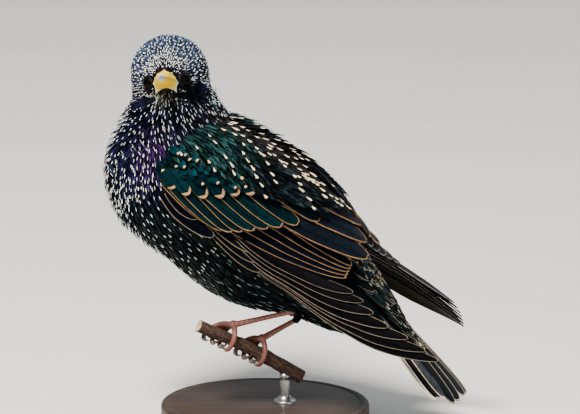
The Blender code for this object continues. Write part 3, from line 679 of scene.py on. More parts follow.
def addSkin():
    # the body's surface, sunk by the coat's depth: least on the face, most on the belly
    sunk = settle(surface[:, :-1], plumageDistance, -coatDepth(surface[:, :-1]), 3)
    points, faces = closedRings(sunk)
    column, row = np.meshgrid(np.arange(skinColumns) / skinColumns, shareGrid)
    flat = np.concatenate([np.stack([column, row], -1).reshape(-1, 2), [(0.5, 0), (0.5, 1)]]) * 0.96 + 0.02
    maps = {"OFBake": flat, "vane": flat * 100}
    names = ("torso", "neck", "head")
    addPiece("skin", points, faces, materials["skin"], "dark_plumage", plumeTone(points) * 0.4, maps, names)


def tuftVanes(name, path, up, width, outline, tone, places, slot="dark_plumage"):
    # arched vanes along the paths, darker at the root and along the shaft; the edge columns carry painted shade for the
    # gaps between neighbouring feathers
    count = len(path)
    half = width[:, None] / 2 * np.array(outlines[outline])[None] * dice.uniform(0.94, 1.06, (count, 6))
    side = np.cross(unit(np.gradient(path, axis=1)), up)
    up = unit(up + side * dice.normal(0, 0.12, count)[:, None, None])
    rim = -0.12 * half
    crest = rim + 0.1 + 0.16 * half
    shades = (tone * (0.25 + 1.9 * dice.uniform(0, 1, (count, 1)) ** 2))[:, None, None] * np.ones((count, 6, 5, 1))
    shades *= np.interp(stationsOfTuft, (0, 0.6, 1), (0.2, 0.8, 1.3))[None, :, None, None]
    # the outer columns at 0.45 are painted shade along each vane's edges, where neighbouring feathers leave dark gaps;
    # the random factor per column gives streaks
    shades *= np.array((0.45, 1.1, 0.75, 1.1, 0.45))[None, None, :, None] * dice.uniform(0.55, 1.5, (count, 1, 5, 1))
    addVanes(name, path, up, half, rim, crest, columnsOfTuft, shades, places, materials["plume"], slot)
    return up, half, rim, crest


def clearOfFace(path):
    # true for feathers that stay off the eyes and the bill
    x, y, z = np.moveaxis(toFrame(path, "head"), -1, 0)
    inBill = (x > 6) & ((y / 3.9) ** 2 + ((z - bill["mouthZ"] + 0.4) / 4.2) ** 2 < 1)
    keep = ~inBill.any(1)
    for side in (1, -1):
        offset = path - eyeMiddle(side)
        away = np.linalg.norm(offset, axis=-1)
        cosine = along(offset, eyeAxis(side)) / away
        keep &= ~((cosine > math.cos(math.radians(eye["opening"] + 0.5))) & (away < 6.5)).any(1)
    return keep


def clearOfWings(path):
    # true for feathers whose ends stay in front of, under or behind the folded wings
    keep = np.ones(len(path), bool)
    for station in (3, 5):
        s, t = onWing(path[:, station])
        local = toFrame(path[:, station], "body")
        near = np.where(local[:, 1] > 0, wingDistance(local, 1), wingDistance(local, -1)) < 7
        upper = np.interp(s, (0, 10, 60, 75, 90), (30, 33, 31, 20, 10))
        keep &= ~(near & (s > 2.5) & (t > np.interp(s, *wing["lowerEdge"]) + 1) & (t < upper))
    return keep


coatTracts = {
    # shares of the way from tail to crown, distances between rows and roots, feather's length and width
    "rump": {"from": 0.004, "to": 0.15, "apart": 1.8, "across": 1.7, "length": 11, "width": 2.9, "kind": "contour"},
    "belly": {"from": 0.15, "to": 0.4, "apart": 1.9, "across": 1.9, "length": 11, "width": 3.1, "kind": "contour"},
    "breast": {"from": 0.4, "to": 0.56, "apart": 1.5, "across": 1.5, "length": 9.5, "width": 2.0, "kind": "hackle"},
    "hackles": {"from": 0.56, "to": 0.74, "apart": 1.15, "across": 1.05, "length": 8.0, "width": 1.2, "kind": "hackle"},
    "headCoat": {"from": 0.735, "to": 0.998, "apart": 0.8, "across": 0.82, "length": 4.0, "width": 1.1, "kind": "contour"},
}


def addCoat():
    for name, look in coatTracts.items():
        tract = sowRows(look["from"], look["to"], look["apart"], look["across"])
        count = len(tract["points"])
        headish = toFrame(tract["points"], "head")
        bodyish = toFrame(tract["points"], "body")
        tract["fromBill"] = np.linalg.norm(headish - (bill["baseX"], 0, bill["mouthZ"]), axis=-1)
        small = np.ones(count)
        throat = 0.0
        if name == "headCoat":
            small = np.interp(tract["fromBill"], (3, 9, 22, 34), (0.34, 0.5, 0.85, 1.0))
            throat = smoothStep(-5, -14, headish[:, 2]) * smoothStep(-12, 2, headish[:, 0])
        tract["back"] = smoothStep(6, 18, bodyish[:, 2]) * smoothStep(0.6, 0.5, tract["share"])
        bigger = 1 + 0.3 * tract["back"]
        length = look["length"] * small * (1 + 0.7 * throat) * bigger * dice.uniform(0.85, 1.15, count)
        if name == "hackles":
            length = length * np.interp(tract["share"], (0.63, 0.74), (1, 0.42))
        if name == "rump":
            length = length * np.interp(tract["share"], (0, 0.05, 0.13), (1.5, 1.35, 1.0))
        width = look["width"] * np.sqrt(small) * bigger * dice.uniform(0.85, 1.15, count)
        lift = dice.uniform(0.0, 0.35, count) * np.minimum(1, length / 8)
        proud = smoothStep(0.42, 0.5, tract["share"]) * smoothStep(0.74, 0.66, tract["share"]) * dice.uniform(0, 1, count) ** 2.5
        lift = lift + 1.3 * proud * (1 - tract["back"])
        ruffled = smoothStep(0.44, 0.54, tract["share"]) * smoothStep(0.77, 0.7, tract["share"])
        lift = lift + 1.9 * ruffled * smoothStep(-6, -15, toFrame(tract["points"], "neck")[:, 0])
        depths = -coatDepth(tract["points"])[:, None] * 0.95 * (1 - stationsOfTuft[None] ** 1.1)
        depths = depths + (lift[:, None] + 0.05) * stationsOfTuft[None] ** 3
        # away from the bill on the head, towards the tail elsewhere
        away = tract["points"] - toWorld((bill["baseX"] - 1, 0, bill["mouthZ"] + 0.5), "head")
        weight = smoothStep(0.7, 0.8, tract["share"])[:, None]
        lie = unit(away) * weight + tract["tailward"] * (1 - weight) + dice.normal(0, 0.06, (count, 3))
        distance = rumpDistance if name == "rump" else plumageDistance
        path, up = layOn(tract["points"], unit(lie), length, depths, distance)
        keep = clearOfFace(path) & clearOfWings(path)
        tract = pick(tract, keep)
        path, up, width = path[keep], up[keep], width[keep]
        shape = tuftVanes(name, path, up, width, look["kind"], plumeTone(path[:, -1]), tract["places"])
        if name in ("rump", "belly"):
            edged = tract["back"] > (0.4 if name == "belly" else -1)
            addEdges(name + "Edges", *(part[edged] for part in (path, *shape, tract["places"])))
        addCoatSpots(name, tract, path, *shape)


def addEdges(name, path, up, half, rim, crest, places):
    # a dull pale vane under the end of each feather, a little wider and longer, so that its edge shows as a V
    position = (0.5 + 0.53 * np.linspace(0, 1, 5))[None] * np.ones((len(path), 1)) * (path.shape[1] - 1)
    wide, low, high = (between(v[..., None], position)[..., 0] for v in (half, rim, crest))
    shape = (between(path, position), unit(between(up, position)), wide + 0.2, low - 0.16, high - 0.1)
    tones = (buff * 0.3 + skylitWhite * 0.12) * dice.uniform(0.4, 1.2, (len(path), 1))
    tones = tones[:, None, None] * np.interp(np.arange(5), (0, 2), (0.1, 1))[None, :, None, None] * np.ones((1, 1, 5, 1))
    addVanes(name, *shape, columnsOfTuft, tones, places, materials["pale"], "dark_plumage")


def rumpDistance(points):
    # the body together with the flat root of the tail, so that the last coverts run out over it
    flat = ellipsoidDistance(toFrame(points, "body"), (-70, 0.8, 8.6), (26, 8.5, 2.4), 8.5)
    return blended([plumageDistance(points), flat])


def segmentDistance(points, first, last):
    # from the straight line between two points
    first, last = np.array(first, float), np.array(last, float)
    way = np.clip(((points - first) @ (last - first)) / ((last - first) @ (last - first)), 0, 1)
    return np.linalg.norm(points - first - way[:, None] * (last - first), axis=-1)


def addCoatSpots(name, tract, path, up, half, rim, crest):
    # crowded dashes on the brow, dots on the crown, dashes on the throat, small arrow heads below, drops on the back
    count = len(path)
    tips = path[:, -1]
    local = toFrame(tips, "head")
    row, index, back = tract["row"].astype(int), tract["index"].astype(int), tract["back"]
    second, third = (row + index) % 2 == 0, (row + index) % 3 == 0
    fourth = (row % 2 == 0) & ((index + row // 2) % 2 == 0)
    luck = dice.uniform(0, 1, count)
    x, y, z = local.T
    neckish = toFrame(tips, "neck")
    if name == "headCoat":
        brow = smoothStep(16, 11, tract["fromBill"]) * smoothStep(0, 3, z)
        cheek = smoothStep(4, 0, z) * smoothStep(4, 6, np.abs(y)) * (1 - brow)
        throat = smoothStep(-4, -9, z) * smoothStep(7, 5, np.abs(y))
        # shade marks the head's shaded side, where the spots are painted dimmer and bluer: painted shade
        shade = smoothStep(2, 9, y) * (1 - 0.5 * smoothStep(2, 8, z))
        crown = (1 - brow) * (1 - cheek) * (1 - throat)
        odds = 0.62 * brow + 0.62 * cheek + 0.5 * throat
        keep = (luck < odds) | (third & (luck < 0.8 * crown + odds))
        for side in (1, -1):
            keep &= segmentDistance(local, (9.5, 2.6 * side, 1.0), (7.5, 8.4 * side, 0.9)) > 2.7 + 0.9 * luck
        long = np.interp(tract["fromBill"], (4, 12, 26), (0.7, 0.85, 0.8)) * (1 + 1.3 * throat)
        wide = 0.18 * brow + (0.17 + 0.05 * shade) * cheek + 0.14 * throat + 0.26 * crown
        shape = (0.6, 1, 1, 0.35)
        colours = (cream * 0.8 + lilac * 0.2) * (1 - shade[:, None]) + skylitWhite * 0.62 * shade[:, None]
        colours = colours * (1 - 0.3 * cheek[:, None] * dice.uniform(0, 1, (count, 1)))
        colours = colours * (1 - throat[:, None]) + (cream * 0.5 + skylitWhite * 0.5) * throat[:, None]
        # just under the bill, near the middle, the spots are dimmed to 0.3: painted shade under the bill
        colours = colours * np.interp(z, (-11, -8), (1, 0.3))[:, None] ** (smoothStep(7, 5, np.abs(y)) * (z < -3))[:, None]
    elif name == "hackles":
        front = smoothStep(16, 6, np.abs(neckish[:, 0])) * (neckish[:, 1] < 0)
        high = smoothStep(0.62, 0.74, tract["share"])
        keep = (second | (third & (high > 0.3))) & (luck < 0.66 - 0.16 * front * (1 - high))
        long, wide, shape = (1.5 + 0.9 * front) * (1 - 0.45 * high), 0.2 - 0.03 * front, (0.5, 1, 1, 0.3)
        side = smoothStep(-4, -14, neckish[:, 0])[:, None]
        # the spots dim towards the neck's shaded side (neck x above 0): painted shade
        colours = skylitWhite * (0.7 - 0.35 * smoothStep(0, 12, neckish[:, 0])[:, None]) * (1 - side) + (cream * 0.6 + skylitWhite * 0.35) * side
    elif name == "breast":
        keep = third & (luck < 0.75)
        long, wide, shape = 1.5 + 0.5 * back, 0.26 + 0.14 * back, (0.35, 0.8, 1, 0.3)
        # dim fades the spots towards the breast's front edge: painted shade where the light falls off
        dim = 0.8 - 0.4 * smoothStep(34, 46, toFrame(tips, "body")[:, 0])[:, None]
        colours = skylitWhite * dim * (1 - back[:, None]) + (cream * 0.3 + buff * 0.3) * back[:, None]
    elif name == "rump":
        keep = fourth & (luck < 0.4)
        long, wide, shape = 1.4 + 0 * back, 0.3 + 0 * back, (0.2, 0.7, 1, 0.4)
        colours = (skylitWhite * 0.3 + buff * 0.3) + 0 * back[:, None]
    else:
        keep = (fourth & (luck < 0.85)) | (third & (back > 0.5) & (luck < 0.7))
        long, wide, shape = 2.3 - 0.8 * back, 0.27 + 0.05 * back, (0.15, 0.6, 1, 0.45)
        colours = skylitWhite * (0.24, 0.29, 0.29) * (1 - back[:, None]) + (skylitWhite * 0.15 + buff * 0.25) * back[:, None]
    long = long * np.ones(count) * dice.uniform(0.75, 1.2, count)
    wide = wide * np.ones(count) * dice.uniform(0.8, 1.2, count)
    colours = np.minimum(colours * dice.uniform(0.65, 1.2, (count, 1)), 0.97)
    parts = (path, up, half, rim, crest, long, wide, colours, tract["places"])
    spotPlates(name + "Tips", shape, *(part[keep] for part in parts))


def spotPlates(name, shape, path, up, half, rim, crest, long, wide, colours, places, slot="dark_plumage"):
    # pale plates that grow out of the vanes' tips
    count, stations = path.shape[:2]
    length = np.linalg.norm(np.diff(path, axis=1), axis=-1).sum(1)
    start = 1 - np.minimum(long / length, 0.85)
    position = (start[:, None] + (1.02 - start)[:, None] * np.linspace(0, 1, len(shape))) * (stations - 1)
    spotPath, spotUp = between(path, position), unit(between(up, position))
    vaneWide, vaneRim, vaneCrest = (between(v[..., None], position)[..., 0] for v in (half, rim, crest))
    spotHalf = wide[:, None] * np.array(shape)
    spotRim = vaneRim + (vaneCrest - vaneRim) * np.clip(1 - (spotHalf / vaneWide) ** 2, 0, 1) + 0.02
    spotCrest = np.maximum(vaneCrest, spotRim) + 0.12
    tones = np.broadcast_to(colours[:, None, None], (count, len(shape), 3, 3)) * 1.0
    addVanes(name, spotPath, spotUp, spotHalf, spotRim, spotCrest, (-1, 0, 1), tones, places, materials["pale"], slot)


# Flight feathers and coverts


def evenly(first, last, count):
    way = np.linspace(0, 1, count)[:, None]
    return np.array(first, float) * (1 - way) + np.array(last, float) * way


tan, sand, tawny, dull = (0.2, 0.115, 0.055), (0.16, 0.12, 0.07), (0.42, 0.23, 0.1), (0.15, 0.12, 0.085)
tiers = {
    # roots and tips as (s, t), how far the middles bow up, width, spacing at s 30 and 80, the lowest edge's
    # line at s 0, 65 and 130, depth, roundness, colour, the pale rim's widths below, at the tip and above
    "primaries": {
        "roots": evenly((27, -2.5), (25, 3), 7),
        "tips": ((129, 0.0), (122.6, 0.1), (114.1, 0.0), (105.1, -0.8), (97.1, 0.0), (91.1, 1.8), (85.6, 3.0)),
        "bows": (-9.6, -9.0, -8.0, -7.0, -6.0, -5.2, -4.4), "width": 5.6, "spacing": (1.6, 2.0), "length": 90,
        "edge": (-5, -11.5, -2), "depth": 3.7, "round": 7, "tone": (0.0022, 0.002, 0.0026),
        "rim": (0.16, 0.2, 0.16), "rimTone": dull, "rimFrom": 0.12,
    },
    "secondaries": {
        "roots": evenly((20, 1), (30, 14), 5),
        "tips": evenly((79.8, 8.0), (78.3, 14.6), 5),
        "bows": (-2.4, -1.6, -0.8, 0, 0.8), "width": 5.6, "spacing": (2.6, 1.7), "length": 55,
        "edge": (-1, -0.5, 6), "depth": 4.5, "round": 12, "tone": (0.002, 0.0028, 0.006),
        "rim": (0.23, 0.36, 0.22), "rimTone": tan, "rimFrom": 0.1,
    },
    "primaryCoverts": {
        "roots": evenly((22, -3.5), (20, -0.5), 3),
        "tips": evenly((52, -9), (45, -2.8), 3),
        "bows": (-1, -1, -1), "width": 4.4, "spacing": (2.0, 2.4), "length": 28,
        "edge": (-5.5, -9, -12), "depth": 4.7, "round": 8, "tone": (0.002, 0.0025, 0.004),
        "rim": (0.18, 0.22, 0.16), "rimTone": sand, "rimFrom": 0.2,
    },
    "tertials": {
        "roots": evenly((30, 14), (34, 26), 3),
        "tips": ((81.6, 20.0), (77, 27.5), (71, 34)),
        "bows": (0, 0, 0), "width": 10.5, "spacing": (5.5, 6.2), "length": 50,
        "edge": (10, 13, 16), "depth": 5.3, "round": 9, "tone": (0.004, 0.006, 0.01),
        "rim": (0.27, 0.5, 0.25), "rimTone": tan, "rimFrom": 0.1,
    },
    "alula": {
        "roots": evenly((-1, -1.2), (0, 1), 2),
        "tips": evenly((29, -5.4), (20, -2.2), 2),
        "bows": (-1.6, -1.2), "width": 4.6, "spacing": (2.2, 2.2), "length": 26,
        "edge": (-2, -6, -9), "depth": 5.6, "round": 8, "tone": (0.0012, 0.0016, 0.0036),
        "rim": (0.14, 0.16, 0.1), "rimTone": dull, "rimFrom": 0.1,
    },
    "greaterCoverts": {
        "roots": ((-6, 3.3), (-6, 4.5), (-2, 6.4), (4, 8.6), (8, 8.3), (14, 11), (19, 13.3), (22, 17.2), (30, 21.4)),
        "tips": ((27.3, -0.8), (30.6, -0.8), (33.4, 0.4), (36.5, 2.5), (39.8, 5.3), (43.4, 8.5), (47.1, 11.7), (51.6, 15.7), (57, 21.5)),
        "bows": (-0.4,) * 9, "width": 6.0, "spacing": (2.6, 3.2), "length": 34,
        "edge": (0, -7, -7), "depth": 6.2, "round": 9, "tone": (0.001, 0.0075, 0.009),
        "rim": (0.17, 0.45, 0.32), "rimTone": tan, "rimFrom": 0.1,
    },
    "medianCoverts": {
        "roots": evenly((-8, 5), (22, 20.7), 7),
        "tips": ((5, 2.6), (11, 3.6), (17, 5.8), (22, 9.0), (26, 12.4), (30.5, 15.5), (36, 18)),
        "bows": (0,) * 7, "width": 6.2, "spacing": (3.6, 3.6), "length": 18,
        "edge": (0, -1, -2), "depth": 7.6, "round": 4, "tone": (0.0008, 0.008, 0.0105),
        "rim": (0.1, 0.1, 0.1), "rimTone": tan, "rimFrom": 0.9, "cap": (0.925, 0.12), "capTone": (0.34, 0.2, 0.1),
    },
}
vaneStations = 1 - (1 - np.linspace(0, 1, 20)) ** 1.5
vaneColumns = np.array((-1, -0.72, -0.44, -0.34, -0.24, 0.1, 0.45, 0.75, 1))


def wingHalf(look):
    # half the width: 0.6 to 1 from root to tip, closed by the root of 1 - x^n
    return lambda x: np.maximum(look["width"] / 2 * (0.6 + 0.4 * x) * np.sqrt(np.clip(1 - x ** look["round"], 0, 1)), 0.12)


def tierSheet(tier, side):
    # world points at x along the feathers, offset mm across and lift mm above them
    count = len(tier["tips"])
    number, bows = np.arange(count)[:, None], np.array(tier["bows"], float)[:, None]
    (rootS, rootT), (tipS, tipT) = (np.array(ends, float).T[..., None] for ends in (tier["roots"], tier["tips"]))

    def toWorldPoints(x, offset, lift):
        s = rootS * (1 - x) + tipS * x
        t = rootT * (1 - x) + tipT * x + bows * 4 * x * (1 - x) + offset
        t = np.minimum(t, backLimit(s, side))
        line = np.interp(s, (0, 65, 130), tier["edge"])
        spacing = np.interp(s, (30, 80), tier["spacing"])
        dip = 2.4 * np.clip(1 - x / 0.3, 0, 1) ** 2 + 3.0 * np.clip(-s / 8, 0, 1)
        depth = tier["depth"] + wing["layer"] * (number - (t - line) / spacing) - dip
        front = np.interp(s, (-9, 0, 12), (0.35, 0.7, 1.0))
        return wingSheet(s, t, np.maximum(depth * front, 1.1) + lift, side)

    return toWorldPoints


def addFeatherSheets(name, toPoints, count, halfOf, look, slot, replaced=()):
    # closed vanes with a raised shaft, from a top and a bottom grid
    x = np.repeat(vaneStations, len(vaneColumns))[None] * np.ones((count, 1))
    c = np.tile(vaneColumns, len(vaneStations))[None] * np.ones((count, 1))
    offset = halfOf(x) * c
    shaft = np.exp(-(((c + 0.34) / 0.1) ** 2))
    lift = 0.16 * shaft * (1 - x) + 0.12 * (1 - c**2)
    top, low = toPoints(x, offset, lift), toPoints(x, offset, lift - wing["thick"] - 0.1 * (1 - x))
    rows, columns = len(vaneStations), len(vaneColumns)
    size = rows * columns
    local = slabFaces(rows, columns)
    faces = (local[None] + (np.arange(count) * 2 * size)[:, None, None]).reshape(-1, 4)
    tone = np.array(look["tone"]).reshape(-1, 1, 3) * dice.uniform(0.8, 1.25, (count, 1, 1)) * np.ones((count, size, 1))
    tone = tone * (1 - 0.55 * shaft[..., None]) * (0.75 + 0.5 * x[..., None])
    under = tone * 0.7 if "under" not in look else np.array(look["under"]) * (0.8 + 0.4 * x[..., None]) * np.ones((count, size, 3))
    vane = np.stack([offset, x * look["length"]], -1)
    # each feather has a strip of its own on the map
    strip = np.stack([(c * 0.42 + 0.5 + np.arange(count)[:, None]) / count, x * 0.47], -1)
    maps = {
        "OFBake": np.concatenate([strip, strip + (0, 0.5)], 1) * 0.98 + 0.005,
        "vane": np.concatenate([vane, vane], 1),
    }
    points = np.concatenate([top, low], 1)
    addPiece(name, points, [faces], materials["flight"], slot, np.concatenate([tone, under], 1), maps, replaced)
    addRims(name + "Rims", toPoints, count, halfOf, look, slot)
    if "cap" in look:
        addCaps(name + "Tips", toPoints, count, halfOf, look, slot)
    print(name, count, "feathers")


def slabFaces(rows, columns):
    # faces of a slab made of a top and a bottom grid
    size = rows * columns
    grid = gridFaces(rows, columns, closed=False)
    edge = np.concatenate([
        np.arange(columns), np.arange(1, rows) * columns + columns - 1,
        (rows - 1) * columns + np.arange(columns - 2, -1, -1), np.arange(rows - 2, 0, -1) * columns,
    ])
    after = np.roll(edge, -1)
    wall = np.stack([edge, edge + size, after + size, after], -1)
    return np.concatenate([grid, grid[:, ::-1] + size, wall])


def addCaps(name, toPoints, count, halfOf, look, slot):
    # pale ends, shorter in the middle than at the sides: from start - flare |c|^1.3 to the tip
    start, flare = look["cap"]
    u, c = (grid.ravel()[None] * np.ones((count, 1)) for grid in np.meshgrid(np.linspace(0, 1, 6), np.linspace(-1, 1, 9), indexing="ij"))
    begin = start - flare * np.abs(c) ** 1.3 + dice.uniform(-0.012, 0.012, (count, 1))
    x = begin + (1.0 - begin) * u
    offset = halfOf(x) * c
    arch = 0.12 * (1 - c**2)
    points = np.concatenate([toPoints(x, offset, arch + 0.1), toPoints(x, offset, arch - 0.15)], 1)
    faces = (slabFaces(6, 9)[None] + (np.arange(count) * 108)[:, None, None]).reshape(-1, 4)
    tone = np.array(look["capTone"]) * dice.uniform(0.8, 1.15, (count, 1, 1)) * (0.8 + 0.3 * u[..., None])
    strip = np.stack([(c * 0.4 + 0.5 + np.arange(count)[:, None]) / count, u * 0.4], -1)
    maps = {"OFBake": np.concatenate([strip, strip + (0, 0.5)], 1), "vane": np.concatenate([strip, strip], 1) * 10}
    addPiece(name, points, [faces], materials["pale"], slot, np.concatenate([tone, tone], 1), maps)


def addRims(name, toPoints, count, halfOf, look, slot):
    # the pale rim: a thin band just inside the outline, widest round the tip
    x = np.concatenate([vaneStations, vaneStations[::-1][1:]])
    sign = np.concatenate([-np.ones(len(vaneStations)), np.ones(len(vaneStations) - 1)]) * look.get("rimSide", 1)
    outer = sign == sign[0]
    keep = (x > look["rimFrom"]) & (outer | (x > 0.78))
    x, sign, outer = x[keep], sign[keep], outer[keep]
    lower, tip, upper = look["rim"]
    wide = np.where(outer, np.interp(x, (0.85, 0.97, 1), (lower, tip, tip)), np.interp(x, (0.8, 0.97, 1), (upper * 0.3, upper, tip)))
    wide = wide * look.get("rimScale", 1.0)
    inX = np.clip(x - wide / look["length"] * np.clip((x - 0.9) / 0.08, 0, 1) * 1.6, 0, 1)
    ones = np.ones((count, 1))
    outside = sign * (halfOf(x[None] * ones) + 0.06)
    inside = sign * np.maximum(halfOf(inX * ones) - wide, 0.0)
    corners = (
        toPoints(x * ones, outside, 0.08), toPoints(inX * ones, inside, 0.2),
        toPoints(inX * ones, inside, -0.05), toPoints(x * ones, outside, -0.24),
    )
    steps = len(x)
    caps = np.array([(3, 2, 1, 0), tuple(np.arange(4) + (steps - 1) * 4)])
    local = np.concatenate([gridFaces(steps, 4), caps])
    faces = (local[None] + (np.arange(count) * steps * 4)[:, None, None]).reshape(-1, 4)
    tone = np.array(look["rimTone"]).reshape(-1, 1, 3) * dice.uniform(0.75, 1.15, (count, 1, 1)) * np.ones((count, steps * 4, 1))
    strip = np.stack(np.meshgrid(np.arange(steps) / steps, (0, 0.3, 0.5, 0.8), indexing="ij"), -1).reshape(1, -1, 2)
    strip = np.repeat(strip, count, axis=0)
    strip[..., 1] = (strip[..., 1] + np.arange(count)[:, None]) / count
    addPiece(name, np.stack(corners, 2), [faces], materials["pale"], slot, tone, {"OFBake": strip, "vane": strip * 10})


farTiers = {
    # on the far side the feathers lie closer, so that the wing's upper edge is one smooth line
    "primaries": {
        "tips": ((129, 0), (128.3, 0.5), (127.3, 1.0), (126, 1.6), (124.5, 2.2), (122.5, 2.9), (120, 3.6)),
        "bows": (-6.5, -4.2, -2, 0, 1.8, 3.4, 4.6), "width": 6.4, "tone": (0.001, 0.0009, 0.0012),
        "rim": (0.1, 0.14, 0.1), "rimTone": ((0.004, 0.004, 0.004),) * 6 + ((0.12, 0.12, 0.12),), "rimSide": -1,
        "under": (0.012, 0.011, 0.005),
    },
    "secondaries": {
        "roots": evenly((20, 3), (30, 22), 5), "tips": evenly((93, 10), (80, 25), 5), "width": 8.5, "spacing": (4, 4),
        "rim": (0.1, 0.2, 0.15), "rimTone": (0.12, 0.1, 0.08), "under": (0.004, 0.004, 0.003),
    },
}


def addWings():
    for label, side, node in (("Left", 1, "wing_left"), ("Right", -1, "wing_right")):
        for name, tier in tiers.items():
            replaced = (node,) if name == "primaries" else ()
            if side < 0:
                tier = {**tier, **farTiers.get(name, {})}
            count = len(tier["tips"])
            addFeatherSheets(name + label, tierSheet(tier, side), count, wingHalf(tier), tier, "flight_feathers", replaced)
        for name, look in shoulderTracts.items():
            addShoulder(name + label, look, side)


shoulderTracts = {
    # rows of tips over the wing's upper part: its lowest t and highest t along s, the distances between tips,
    # lengths and widths along s, depth over the body, and the share of feathers with a pale tip
    "lesserCoverts": {
        "s": (-3, 30), "apart": 2.9, "across": 2.7, "lower": ((-4, 4, 16, 24, 30), (2, 6.5, 8.8, 12.6, 17)),
        "upper": ((-4, 16, 30), (14, 16, 19)), "length": ((0, 30), (8, 9)), "width": ((0, 30), (3.4, 3.4)),
        "depth": 8.2, "slope": -0.2, "spots": 0.5, "long": 2.2, "wide": 0.95, "step": 1,
        "tones": ((0.0012, 0.014, 0.019), (0.0012, 0.012, 0.017)), "shape": (0.3, 0.8, 1, 0.7), "pale": (0.55, 0.36, 0.19),
    },
    "scapulars": {
        "s": (-1, 69), "apart": 1.8, "across": 1.45,
        "lower": ((-6, 0, 16, 26, 31, 43, 51, 57, 60, 69), (9, 10, 13, 13.5, 15.5, 17, 20, 21, 26, 35)),
        "upper": ((-6, 69), (40, 40)), "length": ((-4, 10, 30, 60), (6.5, 11, 14, 18)),
        "width": ((-4, 10, 60), (1.5, 1.9, 3.0)), "depth": 8.9, "slope": None, "spots": 0.8, "long": 4.2, "wide": 0.56, "step": 4,
        "tones": ((0.008, 0.028, 0.027), (0.004, 0.0068, 0.0085)), "shape": (0.2, 0.55, 0.9, 1, 0.5), "pale": (0.84, 0.64, 0.42),
    },
}


def sheetDepth(s, t, deep, side):
    # sinks into the breast in front and into the mantle above; on the far side the shoulder is flatter
    front = smoothStep(-12, 14, s)
    deep = deep - (1.8 * smoothStep(14, 22, t) if side < 0 else 0)
    return np.interp(t, (20, 27, 33, 40), (0, -1.0, -4.4, -7.1)) * front + deep * front + 0.6 * (1 - front)


def addShoulder(name, look, side):
    rows = np.arange(*look["s"], look["apart"])
    found = []
    for number, s in enumerate(rows):
        t = np.arange(2, 40, look["across"]) + look["across"] / 2 * (number % 2)
        found.append(np.stack([np.full(len(t), s), t, np.full(len(t), number), np.arange(len(t))], -1))
    s, t, row, index = np.concatenate(found).T
    s = s + dice.normal(0, 0.4, len(s))
    t = t + dice.normal(0, 0.35, len(s))
    keep = (t > np.interp(s, *look["lower"])) & (t < np.interp(s, *look["upper"])) & (t < backLimit(s, side) - 1)
    keep &= (s > np.interp(t, (20, 24, 28, 40), (-4, 0, 3, 5)))
    s, t, row, index = s[keep], t[keep], row[keep], index[keep]
    count = len(s)
    length = np.interp(s, *look["length"]) * dice.uniform(0.9, 1.1, count)
    width = np.interp(s, *look["width"]) * dice.uniform(0.9, 1.1, count)
    slope = np.interp(s, (0, 12, 30, 55), (-0.5, -0.45, -0.28, -0.12)) * np.interp(t, (26, 38), (1, 0.2))
    if look["slope"] is not None:
        slope = np.full(count, look["slope"])
    slope = slope + dice.normal(0, 0.04, count)
    x = stationsOfTuft[None]
    back = (length / np.hypot(1, slope))[:, None] * (1 - x)
    pathS, pathT = s[:, None] - back, t[:, None] - slope[:, None] * back
    # where the pale tips go; those feathers stand a little higher
    inner = smoothStep(22, 28, t) * (name[0] == "s")
    chosen = (row % 2 == 0) & ((index + row // 2) % look["step"] == 0) if look["step"] > 1 else row >= 0
    odds = look["spots"] * np.interp(s, (30, 55), (1, 0.6))
    chosen = (chosen & (dice.uniform(0, 1, count) < odds)) | (dice.uniform(0, 1, count) < 0.06 * inner)
    rise = -2.6 * (1 - x**1.1) + 0.25 * x**3 + dice.uniform(0, 0.25, count)[:, None] * x**2
    rise = rise + 0.8 * chosen[:, None] * smoothStep(0.25, 0.6, x)
    depth = sheetDepth(pathS, pathT, look["depth"], side) + rise
    path = wingSheet(pathS, pathT, depth, side)
    ahead, above = wingSheet(pathS + 0.5, pathT, depth, side) - path, wingSheet(pathS, pathT + 0.5, depth, side) - path
    up = unit(np.cross(ahead, above) * side)
    first, last = (np.array(tone) for tone in look["tones"])
    towards = (smoothStep(8, 34, s) * smoothStep(10, 16, t))[:, None]
    mantle = smoothStep(27, 33, t)[:, None] if name.startswith("scap") else 0.0
    tone = (first * (1 - towards) + last * towards) * (1 - mantle) + np.array((0.0065, 0.0058, 0.0068)) * mantle
    places = skinPlaces(path[:, 0])
    kind = "hackle" if name.startswith("scap") else "contour"
    width = width * (1 + 0.2 * chosen)
    shape = tuftVanes(name, path, up, width, kind, tone, places)
    colours = np.array(look["pale"])[None] * dice.uniform(0.7, 1.1, (count, 1))
    long, wide = (look[key] * dice.uniform(0.8, 1.15, count) for key in ("long", "wide"))
    parts = (path, *shape, long, wide, colours, places)
    spotPlates(name + "Tips", look["shape"], *(part[chosen] for part in parts))


# Tail: twelve feathers on a sloping, arched sheet

